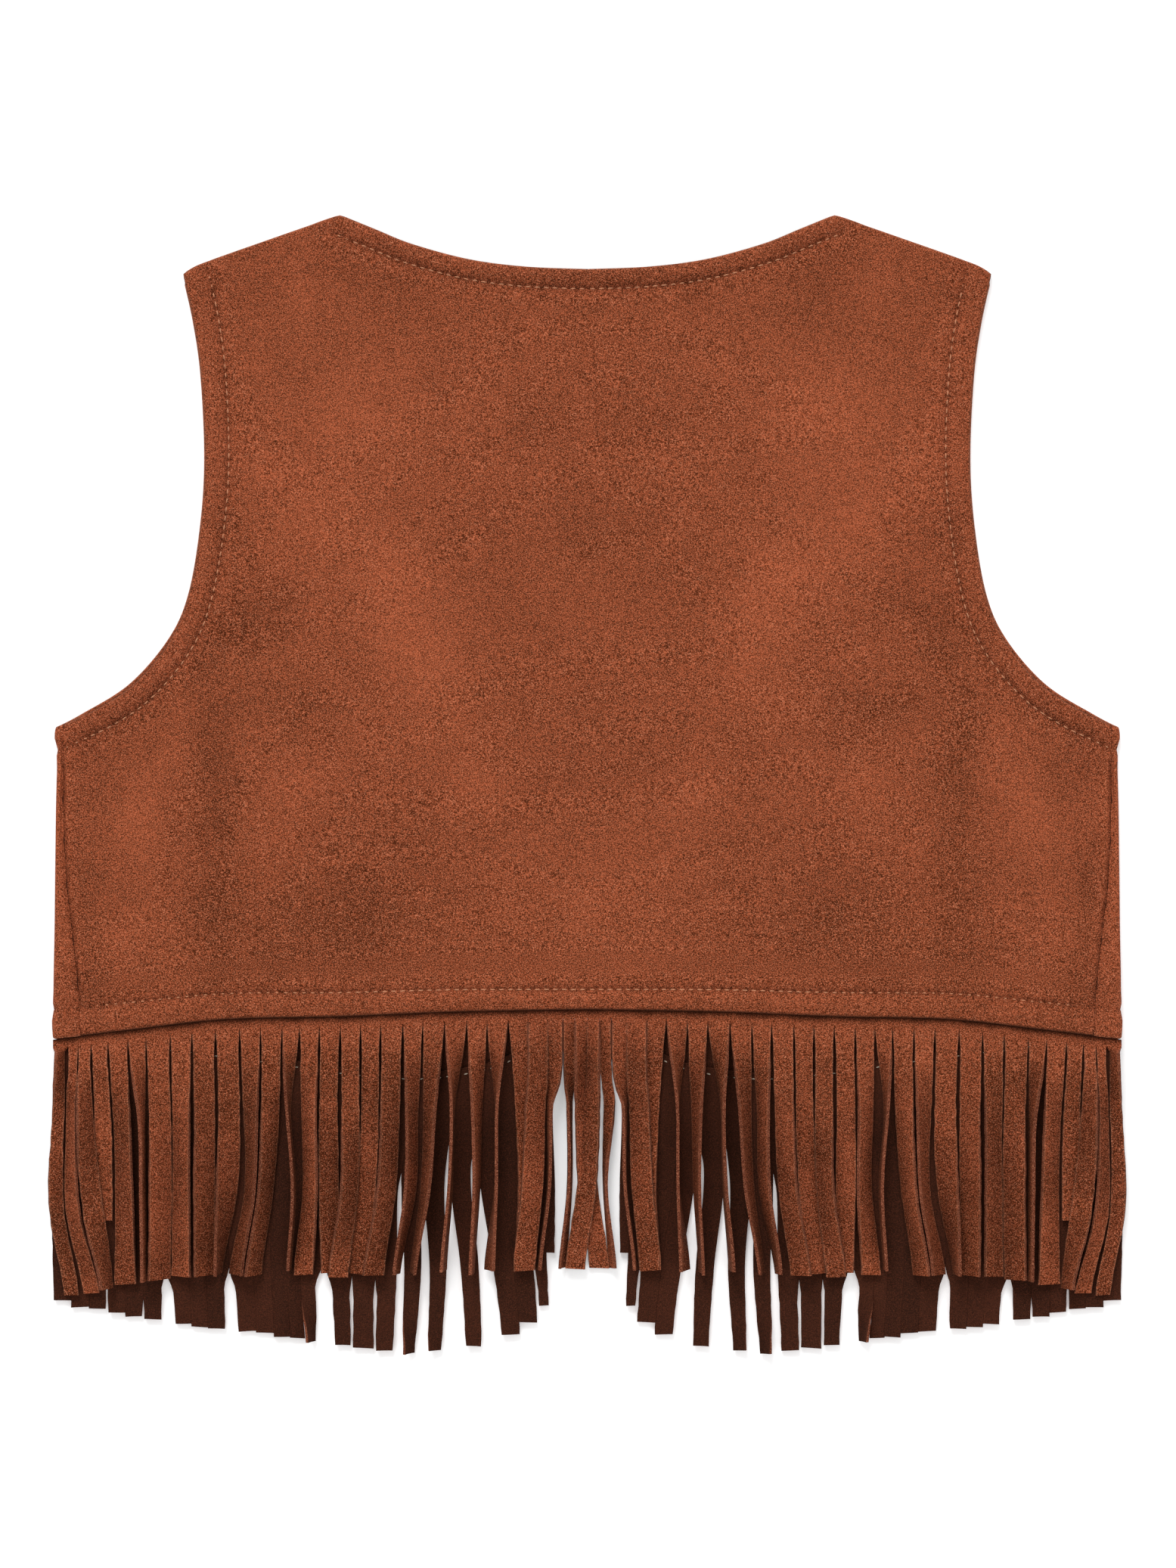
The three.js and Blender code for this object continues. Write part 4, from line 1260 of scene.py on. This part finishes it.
def mixed_colour(tree, share, first, second):
    inputs = {MIX_SHARE: share, MIX_FIRST: first, MIX_SECOND: second}
    return add_node(tree, "ShaderNodeMix", inputs, data_type="RGBA").outputs[MIX_COLOUR]


def noise(tree, place, scale, detail, rough, twist=0.0):
    inputs = {"Vector": place, "Scale": scale, "Detail": detail, "Roughness": rough, "Distortion": twist}
    return add_node(tree, "ShaderNodeTexNoise", inputs).outputs["Fac"]


def new_group(name, inputs, outputs):
    """An empty shader node group with its sockets, and the nodes that hold them."""
    group = bpy.data.node_groups.new(name, "ShaderNodeTree")
    for in_out, sockets in (("INPUT", inputs), ("OUTPUT", outputs)):
        for socket, kind in sockets.items():
            group.interface.new_socket(socket, in_out=in_out, socket_type="NodeSocket" + kind)
    start, end = group.nodes.new("NodeGroupInput"), group.nodes.new("NodeGroupOutput")
    return group, start.outputs, end


def finish_group(group, end, results):
    for socket, value in results.items():
        group.links.new(value, end.inputs[socket])
    return group


def nap_group():
    """Suede: patches brushed light or dark, clumps, fine grain and single light fibres."""
    if "Suede nap" in bpy.data.node_groups:
        return bpy.data.node_groups["Suede nap"]
    inputs = {
        "Place": "Vector", "Dark": "Color", "Light": "Color", "Fleck": "Color", "Nap and painted light": "Float",
        "Tone": "Float", "Grain Size": "Float", "Grain Strength": "Float",
    }
    outputs = {"Color": "Color", "Height": "Float", "Roughness": "Float"}
    group, given, end = new_group("Suede nap", inputs, outputs)
    place = given["Place"]
    scale = maths(group, "DIVIDE", 1.0, given["Grain Size"])
    patches = noise(group, place, PATCHES_A_METRE, detail=3.0, rough=0.55, twist=0.6)
    streaks = noise(group, place, STREAKS_A_METRE, detail=3.0, rough=0.6, twist=0.4)
    clump_scale = maths(group, "MULTIPLY", scale, CLUMPS_TO_GRAIN)
    fibre_scale = maths(group, "MULTIPLY", scale, FIBRES_TO_GRAIN)
    clumps = noise(group, place, clump_scale, detail=2.0, rough=0.6)
    grain = noise(group, place, scale, detail=2.0, rough=0.7)
    fibres = noise(group, place, fibre_scale, detail=1.0, rough=0.5)
    tone = maths(group, "MULTIPLY_ADD", given["Nap and painted light"], NAP_STEP, MIDDLE_TONE)
    tone = maths(group, "MULTIPLY_ADD", given["Tone"], TONE_STEP, tone)
    for values, share in ((patches, PATCH_TONE), (streaks, STREAK_TONE)):
        tone = maths(group, "MULTIPLY_ADD", maths(group, "SUBTRACT", values, 0.5), share, tone)
    for values, share in ((clumps, CLUMP_TONE), (grain, GRAIN_TONE), (fibres, FIBRE_TONE)):
        strength = maths(group, "MULTIPLY", given["Grain Strength"], share)
        tone = maths(group, "MULTIPLY_ADD", maths(group, "SUBTRACT", values, 0.5), strength, tone)
    tone = maths(group, "MAXIMUM", maths(group, "MINIMUM", tone, 1.0), 0.0)
    colour = mixed_colour(group, tone, given["Dark"], given["Light"])
    over = maths(group, "SUBTRACT", fibres, FLECK_FROM)
    fleck = maths(group, "MULTIPLY", over, FLECK_SHARPNESS, clamp=True)
    fleck = maths(group, "MULTIPLY", fleck, FLECK_STRENGTH)
    colour = mixed_colour(group, fleck, colour, given["Fleck"])
    height = maths(group, "MULTIPLY_ADD", clumps, CLUMP_HEIGHT, grain)
    height = maths(group, "MULTIPLY_ADD", fibres, FIBRE_HEIGHT, height)
    rough = maths(group, "MULTIPLY_ADD", clumps, ROUGH_CHANGE, ROUGH_LEAST)
    return finish_group(group, end, {"Color": colour, "Height": height, "Roughness": rough})


def stitch_group():
    """What a row of stitches does to suede: holes, puckers between them and shade in the groove."""
    if "Stitch press" in bpy.data.node_groups:
        return bpy.data.node_groups["Stitch press"]
    inputs = {"Way": "Vector", "Pitch": "Float"}
    group, given, end = new_group("Stitch press", inputs, {"Height": "Float", "Shade": "Float"})
    parts = add_node(group, "ShaderNodeSeparateXYZ", {0: given["Way"]}).outputs
    turns = maths(group, "MULTIPLY", maths(group, "DIVIDE", parts[0], given["Pitch"]), 2 * math.pi)
    wave = maths(group, "COSINE", turns)
    away = maths(group, "MULTIPLY", parts[1], parts[1])
    near = maths(group, "EXPONENT", maths(group, "MULTIPLY", away, -HOLE_FALL))
    wide = maths(group, "EXPONENT", maths(group, "MULTIPLY", away, -PUCKER_FALL))
    hole = maths(group, "MULTIPLY", near, maths(group, "MULTIPLY_ADD", wave, 0.5, 0.5))
    pucker = maths(group, "MULTIPLY", wide, wave)
    deep = maths(group, "MULTIPLY", hole, -HOLE_DEPTH)
    height = maths(group, "MULTIPLY_ADD", pucker, -PUCKER_DEPTH, deep)
    groove = maths(group, "MULTIPLY", near, GROOVE_SHADE)
    shade = maths(group, "MULTIPLY_ADD", hole, HOLE_SHADE, groove, clamp=True)
    return finish_group(group, end, {"Height": height, "Shade": shade})


def edge_group():
    """Loose light fibres along an edge, thicker here and thinner there."""
    if "Fuzzy edge" in bpy.data.node_groups:
        return bpy.data.node_groups["Fuzzy edge"]
    inputs = {"Place": "Vector", "Distance": "Float", "Width": "Float"}
    group, given, end = new_group("Fuzzy edge", inputs, {"Mask": "Float"})
    ragged = noise(group, given["Place"], TUFTS_A_METRE, detail=2.0, rough=0.6)
    ragged = maths(group, "SUBTRACT", ragged, 0.5)
    distance = maths(group, "MULTIPLY_ADD", ragged, TUFT_REACH, given["Distance"])
    mask = maths(group, "SUBTRACT", 1.0, maths(group, "DIVIDE", distance, given["Width"]), clamp=True)
    return finish_group(group, end, {"Mask": mask})


def new_material(name):
    """A material with its node tree and its shader."""
    material = bpy.data.materials.new(name)
    material.use_nodes = True
    tree = material.node_tree
    return material, tree, next(node for node in tree.nodes if node.type == "BSDF_PRINCIPLED")


def shaded(colour, share=1.0):
    """A colour for a node, darkened to a share of its light."""
    return tuple(part * share for part in colour[:3]) + (1.0,)


def suede(name, colours, grain, grain_strength, fuzz, shade, brushing, sizes):
    """A leather material: nap, stitches and edges from the shared groups, and painted shade, on one
    shader.
    """
    if name in bpy.data.materials:
        return bpy.data.materials[name]
    dark, light, fleck = (shaded(colour) for colour in colours)
    material, tree, shader = new_material(name)
    place = add_node(tree, "ShaderNodeTexCoord").outputs["Object"]

    def read(value):
        return add_node(tree, "ShaderNodeAttribute", attribute_name=value).outputs

    inputs = {
        "Place": place, "Dark": dark, "Light": light, "Fleck": fleck, "Tone": read("tone")["Fac"],
        "Nap and painted light": maths(tree, "MULTIPLY", read("nap_and_painted_light")["Fac"], brushing),
        "Grain Size": grain * MM, "Grain Strength": grain_strength,
    }
    nap_and_painted_light = add_node(tree, "ShaderNodeGroup", inputs, node_tree=nap_group()).outputs
    inputs = {"Way": read("stitch")["Vector"], "Pitch": sizes.stitch_pitch / MM}
    stitches = add_node(tree, "ShaderNodeGroup", inputs, node_tree=stitch_group()).outputs
    inputs = {"Place": place, "Distance": read("edge")["Fac"], "Width": FUZZ_WIDTH}
    edges = add_node(tree, "ShaderNodeGroup", inputs, node_tree=edge_group()).outputs
    fuzz_mask = maths(tree, "MULTIPLY", edges["Mask"], fuzz)
    colour = mixed_colour(tree, fuzz_mask, nap_and_painted_light["Color"], fleck)
    # Painted shade in the stitch holes and the groove beside them
    colour = mixed_colour(tree, stitches["Shade"], colour, shaded(dark, STITCH_DARK))
    # Painted shade in creases, along slits and under the hem
    painted_shade_mask = maths(tree, "MULTIPLY", read("painted_shade")["Fac"], shade, clamp=True)
    colour = mixed_colour(tree, painted_shade_mask, colour, shaded(dark, PAINTED_SHADE_DARK))
    height = maths(tree, "MULTIPLY_ADD", stitches["Height"], STITCH_HEIGHT, nap_and_painted_light["Height"])
    inputs = {"Height": height, "Strength": BUMP, "Distance": sizes.nap_depth}
    feed(tree, shader, {
        "Base Color": colour,
        "Roughness": nap_and_painted_light["Roughness"],
        "Normal": add_node(tree, "ShaderNodeBump", inputs).outputs[0],
        "Specular IOR Level": 0.07,
        "Sheen Weight": 0.04,
        "Sheen Roughness": 0.5,
        "Sheen Tint": fleck,
    })
    return material


def leather(context):
    """The leather's right side, wrong side and cut edge."""
    sizes, colours = context.scene.vest_sizes, context.scene.vest_colours
    right = (colours.suede_dark, colours.suede_light, colours.fibre)
    wrong = (colours.wrong_dark, colours.wrong_light, colours.wrong_light)
    cut = (colours.edge_dark, colours.edge_light, colours.fibre)
    return (
        suede("suede right side", right, *RIGHT_LOOK, sizes.brushing, sizes),
        suede("suede wrong side", wrong, *WRONG_LOOK, WRONG_BRUSHING, sizes),
        suede("suede cut edge", cut, *CUT_LOOK, 0.0, sizes),
    )


def thread_material(name, colour):
    """Twisted thread: two tones along its ply, the darker one painted shade between the plies."""
    if name in bpy.data.materials:
        return bpy.data.materials[name]
    material, tree, shader = new_material(name)
    place = add_node(tree, "ShaderNodeTexCoord").outputs["Object"]
    ply = add_node(tree, "ShaderNodeAttribute", attribute_name="ply").outputs["Fac"]
    # Painted shade in a helix along the thread, where its plies meet
    twist = maths(tree, "SINE", maths(tree, "MULTIPLY", ply, 2 * math.pi))
    twist = maths(tree, "MULTIPLY_ADD", twist, 0.5, 0.5)
    worn = noise(tree, place, WEAR_A_METRE, detail=2.0, rough=0.6)
    share = maths(tree, "MULTIPLY_ADD", twist, 0.5, 0.5)
    share = maths(tree, "MULTIPLY", share, maths(tree, "ADD", worn, WEAR_LEAST))
    inputs = {"Height": twist, "Strength": 0.6, "Distance": PLY_DEPTH * MM}
    feed(tree, shader, {
        "Base Color": mixed_colour(tree, share, shaded(colour, PLY_PAINTED_SHADE), shaded(colour)),
        "Normal": add_node(tree, "ShaderNodeBump", inputs).outputs[0],
        "Roughness": 0.6,
        "Sheen Weight": 0.2,
    })
    return material


def deselect_all():
    for thing in bpy.context.selected_objects:
        thing.select_set(False)


def select_points(test):
    """Selects the points of the mesh in edit mode that pass a test."""
    work = bmesh.from_edit_mesh(bpy.context.edit_object.data)
    for vert in work.verts:
        vert.select = test(vert.co)
    work.select_flush_mode()
    bmesh.update_edit_mesh(bpy.context.edit_object.data)


def model_stitch(length, thread):
    """One stitch along X: round thread with round ends that dip into the leather."""
    deselect_all()
    bpy.ops.mesh.primitive_uv_sphere_add(
        segments=8, ring_count=6, radius=thread / 2, rotation=(0, math.pi / 2, 0)
    )
    stitch = bpy.context.object
    bpy.ops.object.transform_apply(location=False, rotation=True, scale=True)
    bpy.ops.object.mode_set(mode="EDIT")
    bpy.ops.mesh.select_mode(type="VERT")
    for side in (-1, 1):
        select_points(lambda co: side * co.x > thread * STITCH_MIDDLE)
        bpy.ops.transform.translate(value=(side * (length - thread) / 2, 0, 0))
    select_points(lambda co: abs(co.x) > length * STITCH_ENDS)
    bpy.ops.transform.translate(value=(0, 0, -STITCH_DIP * thread))
    bpy.ops.object.mode_set(mode="OBJECT")
    points = np.array([vert.co for vert in stitch.data.vertices])
    faces = [list(face.vertices) for face in stitch.data.polygons]
    mesh = stitch.data
    bpy.data.objects.remove(stitch)
    bpy.data.meshes.remove(mesh)
    return points, faces


def stitch_places(samples, pitch):
    """Places of stitches along a line, and the way that it runs there."""
    count = run_lengths(samples)[-1] / pitch
    wanted = np.arange(FIRST_STITCH, count - LAST_STITCH) * pitch
    ahead = at_lengths(samples, wanted + STITCH_AIM)
    behind = at_lengths(samples, wanted - STITCH_AIM)
    return at_lengths(samples, wanted), ahead - behind


def topstitching(name, rows, context, seed):
    """All the stitches of a piece as one mesh.

    Each row gives places, directions and ways up, and whether it is sewn in the pale thread.
    """
    sizes = context.scene.vest_sizes
    model, model_faces = model_stitch(sizes.stitch_length, sizes.thread)
    draw = np.random.default_rng(seed)
    angle = np.arctan2(model[:, 2], model[:, 1])
    ply = model[:, 0] / sizes.thread + angle / (2 * math.pi)
    points, faces, plies, kinds = [], [], [], []
    for places, directions, ups, pale in rows:
        for place, run, up in zip(places, directions, ups):
            run = run / np.linalg.norm(run)
            side = np.cross(up, run)
            side = side / np.linalg.norm(side)
            run = run + side * draw.normal(0, STITCH_ASKEW)
            stretch = draw.uniform(*STITCH_STRETCH)
            base = len(points) * len(model)
            axes = np.array([run / np.linalg.norm(run) * stretch, side, up])
            points.append(model @ axes + place * MM)
            faces += [[base + n for n in face] for face in model_faces]
            plies.append(ply + draw.uniform())
            kinds += [int(pale)] * len(model_faces)
    mesh = bpy.data.meshes.new(name)
    mesh.from_pydata(np.concatenate(points).tolist(), [], faces)
    mesh.polygons.foreach_set("material_index", kinds)
    add_values(mesh, "ply", np.concatenate(plies))
    colours = context.scene.vest_colours
    materials = [thread_material("topstitching thread", colours.thread)]
    if any(kinds):
        materials.append(thread_material("pale thread", colours.pale_thread))
    return finished(name, mesh, materials)


def back_rows(sizes):
    """Stitches of the back's neck, armholes and hem, and of the hem on the wraps beside it."""
    pitch = sizes.stitch_pitch / MM
    rows = []
    for name, samples in STITCHED.items():
        if name == "neck":
            samples = samples[::-1]
        found, run = stitch_places(samples, pitch)
        for side in (1, -1):
            x = found[:, 0] * side
            sunk = smooth((found[:, 0] - HEM_SINKS_FROM) / HEM_SINKS_OVER) * (name == "hem")
            proud = STITCH_PROUD - HEM_STITCH_SINK * sunk
            top = back_look(x, found[:, 1], sizes)["top"] + proud
            places = np.column_stack([x, found[:, 1], top])
            ahead = back_look(x + run[:, 0] * side, found[:, 1] + run[:, 1], sizes)["top"] + proud
            directions = np.column_stack([run[:, 0] * side, run[:, 1], ahead - top])
            rows.append((places, directions, np.tile(UPWARDS, (len(places), 1)), False))
    return rows


def wrap_rows(side, sizes):
    """Stitches of the hem where it goes on round the side fold."""
    foot = np.array(SIDE_FOOT)
    radius = float(back_base(*foot) + BACK_WALL) / 2
    centre = foot[0] - radius
    x = centre + np.hstack([WRAP_STITCHES_ACROSS, radius * np.cos(np.radians(WRAP_STITCHES_ROUND))])
    out = np.maximum(x - centre, 0)
    rise = np.sqrt(radius ** 2 - out ** 2)
    up = np.column_stack([out, 0 * x, np.maximum(rise, LEAST_UP)])
    up = up / np.linalg.norm(up, axis=1, keepdims=True)
    run = np.cross([0.0, 1, 0], up)
    y = np.full(len(x), foot[1] + WRAP_STITCHES_UP)
    places = np.column_stack([x, y, radius + rise]) - up * WRAP_STITCHES_SINK
    flip = np.array([side, 1, 1])
    return places * flip, run * flip, up * flip, False


def front_rows(side, sizes):
    """Stitches on a front's right side, which lies down, and on the strip that is sewn to its hem."""
    pitch = sizes.stitch_pitch / MM
    flip = np.array([side, 1, 1])
    fold = np.array(FRONT_SIDE)
    rows = []
    for _, samples in front_lines():
        found, run = stitch_places(samples, pitch)
        relief, _, _ = front_look(found[:, None], fold, sizes)
        places = np.column_stack([found, relief[:, 0] + FRONT_STITCH_PROUD])
        directions = np.column_stack([run, 0 * run[:, 0]])
        keep = (found < FRONT_STITCH_REACH).all(axis=1)
        ups = np.tile(DOWNWARDS, (keep.sum(), 1))
        rows.append((places[keep] * flip, directions[keep] * flip, ups, False))
    x = np.linspace(*STRIP_STITCHES)
    samples = np.column_stack([x, front_hem_y(x) + FRONT_STITCH_UP])
    found, run = stitch_places(samples, pitch)
    places = np.column_stack([found, np.full(len(found), FRONT_FRINGE_BASE + FRINGE_WALL)])
    ups = np.tile(UPWARDS, (len(found), 1))
    rows.append((places * flip, np.column_stack([run, 0 * run[:, 0]]) * flip, ups, True))
    return rows


def remove_old(*names):
    for name in names:
        if name in bpy.data.objects:
            bpy.data.objects.remove(bpy.data.objects[name])


def place_sheet(piece, node):
    """Hides the part that a sheet stands in for and hangs the sheet on the root."""
    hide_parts(node)
    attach(piece, "root")


class VEST_OT_fronts(bpy.types.Operator):
    """Makes the left and right fronts, which lie right side down and wrap round the sides"""

    bl_idname = "vest.fronts"
    bl_label = "Fronts"

    def execute(self, context):
        remove_old("right_front", "left_front")
        sizes = context.scene.vest_sizes
        grids = front_grids(sizes)
        for name, node, halves in (
            ("right_front", "front_right", grids),
            ("left_front", "front_left", [other_half(part) for part in grids]),
        ):
            piece = shell(name, halves, leather(context))
            place_sheet(piece, node)
        return {"FINISHED"}


class VEST_OT_front_fringes(bpy.types.Operator):
    """Makes the fringe of each front, with its wrong side up"""

    bl_idname = "vest.front_fringes"
    bl_label = "Front fringes"

    def execute(self, context):
        remove_old("right_front_fringe", "left_front_fringe")
        sizes = context.scene.vest_sizes
        right, wrong, cut = leather(context)
        for name, node, front, side in (
            ("right_front_fringe", "fringe_front_right", "right_front", 1),
            ("left_front_fringe", "fringe_front_left", "left_front", -1),
        ):
            grids = fringe_grids(
                FRONT_STRANDS, FRONT_STRIP_INNER, front_strands, front_hem_y, FRONT_FRINGE_BASE,
                sizes, FRONT_SEED + side, root_shade=FRONT_ROOT_SHADE,
            )
            if side < 0:
                grids = [other_half(part) for part in grids]
            piece = shell(name, grids, (wrong, right, cut))
            place_sheet(piece, node)
        return {"FINISHED"}


class VEST_OT_back_fringe(bpy.types.Operator):
    """Makes the fringe that hangs from under the back's hem"""

    bl_idname = "vest.back_fringe"
    bl_label = "Back fringe"

    def execute(self, context):
        remove_old("back_fringe")
        sizes = context.scene.vest_sizes
        halves = [
            fringe_grids(
                (*BACK_STRANDS, *CENTRE_STRANDS[half]), BACK_STRIP_INNER, back_strands, back_hem_y,
                BACK_FRINGE_BASE, sizes, BACK_SEED + half, SIDE_FLARE, BACK_STRIP_SHADE,
            )
            for half in (0, 1)
        ]
        left = [other_half(part) for part in halves[0]]
        right = halves[1]
        strip = {key: np.concatenate([right[0][key], left[0][key]], axis=1) for key in left[0]}
        piece = shell("back_fringe", [strip, *right[1:], *left[1:]], leather(context))
        place_sheet(
            piece, "fringe_back",
        )
        return {"FINISHED"}


class VEST_OT_back(bpy.types.Operator):
    """Makes the back, with its turned edges, soft creases, brushed nap and painted shade"""

    bl_idname = "vest.back"
    bl_label = "Back"

    def execute(self, context):
        remove_old("back")
        piece = shell("back", back_grids(context.scene.vest_sizes), leather(context))
        place_sheet(
            piece, "back_panel",
        )
        return {"FINISHED"}


class VEST_OT_topstitching(bpy.types.Operator):
    """Sews the rows of topstitching on the back and on both fronts"""

    bl_idname = "vest.topstitching"
    bl_label = "Topstitching"

    def execute(self, context):
        remove_old("back_topstitching", "right_front_topstitching", "left_front_topstitching")
        sizes = context.scene.vest_sizes
        rows = {
            "back_topstitching": back_rows(sizes),
            "right_front_topstitching": [*front_rows(1, sizes), wrap_rows(1, sizes)],
            "left_front_topstitching": [*front_rows(-1, sizes), wrap_rows(-1, sizes)],
        }
        for seed, (name, made) in enumerate(rows.items()):
            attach(topstitching(name, made, context, seed), "root")
        return {"FINISHED"}


def add_light(name, turn, height, softness, strength):
    """A large soft light far away. It stands at a turn from behind the neck, and a height."""
    data = bpy.data.lights.new(name, "SUN")
    data.angle = math.radians(softness)
    data.energy = strength
    light = bpy.data.objects.new(name, data)
    light.rotation_euler = (math.radians(height - 90), 0, math.radians(turn))
    bpy.context.scene.collection.objects.link(light)


class VEST_OT_studio(bpy.types.Operator):
    """Lays out the floor, the soft lights and the camera straight above"""

    bl_idname = "vest.studio"
    bl_label = "Studio"

    def execute(self, context):
        remove_old("floor", "key_light", "fill_light", "camera")
        deselect_all()
        bpy.ops.mesh.primitive_plane_add(size=FLOOR_SIZE, location=(0, 0, -FLOOR_BELOW))
        floor = context.object
        floor.name = "floor"
        bpy.ops.object.transform_apply()
        material, tree, shader = new_material("floor paper")
        feed(tree, shader, {
            "Base Color": shaded(context.scene.vest_colours.floor),
            "Roughness": 0.9,
            "Specular IOR Level": 0.1,
            "Emission Color": (1, 1, 1, 1),
            "Emission Strength": FLOOR_GLOW,
        })
        floor.data.materials.append(material)
        add_light("key_light", *KEY_LIGHT)
        add_light("fill_light", *FILL_LIGHT)
        world = bpy.data.worlds.new("studio world")
        world.use_nodes = True
        background = next(node for node in world.node_tree.nodes if node.type == "BACKGROUND")
        background.inputs["Color"].default_value = (1, 1, 1, 1)
        background.inputs["Strength"].default_value = WORLD_LIGHT
        context.scene.world = world
        context.scene.view_settings.view_transform = "Standard"
        data = bpy.data.cameras.new("camera")
        data.lens = LENS
        data.sensor_width = SENSOR
        camera = bpy.data.objects.new("camera", data)
        height = FRAME_HEIGHT * LENS / SENSOR
        camera.location = (LOOK_AT[0], LOOK_AT[1], LOOK_AT[2] + height)
        context.scene.collection.objects.link(camera)
        context.scene.camera = camera
        return {"FINISHED"}


class VEST_PT_pieces(bpy.types.Panel):
    """Lists the steps that make the vest, with its sizes and colours"""

    bl_idname = "VEST_PT_pieces"
    bl_label = "Fringed suede vest"
    bl_space_type = "VIEW_3D"
    bl_region_type = "UI"
    bl_category = "Vest"

    def draw(self, context):
        steps = self.layout.column(align=True)
        for operator in OPERATORS:
            steps.operator(operator.bl_idname)
        groups = (("Sizes", context.scene.vest_sizes), ("Colours", context.scene.vest_colours))
        for label, group in groups:
            box = self.layout.box()
            box.label(text=label)
            for name in group.__annotations__:
                box.prop(group, name)


OPERATORS = (
    VEST_OT_studio, VEST_OT_fronts, VEST_OT_front_fringes, VEST_OT_back_fringe, VEST_OT_back,
    VEST_OT_topstitching,
)
CLASSES = (VestSizes, VestColours, *OPERATORS, VEST_PT_pieces)


def register():
    for item in CLASSES:
        bpy.utils.register_class(item)
    bpy.types.Scene.vest_sizes = bpy.props.PointerProperty(type=VestSizes)
    bpy.types.Scene.vest_colours = bpy.props.PointerProperty(type=VestColours)


def unregister():
    del bpy.types.Scene.vest_sizes
    del bpy.types.Scene.vest_colours
    for item in reversed(CLASSES):
        bpy.utils.unregister_class(item)


def main():
    register()
    bpy.ops.vest.studio()
    bpy.ops.vest.fronts()
    bpy.ops.vest.front_fringes()
    bpy.ops.vest.back_fringe()
    bpy.ops.vest.back()
    bpy.ops.vest.topstitching()


if __name__ == "__main__":
    main()
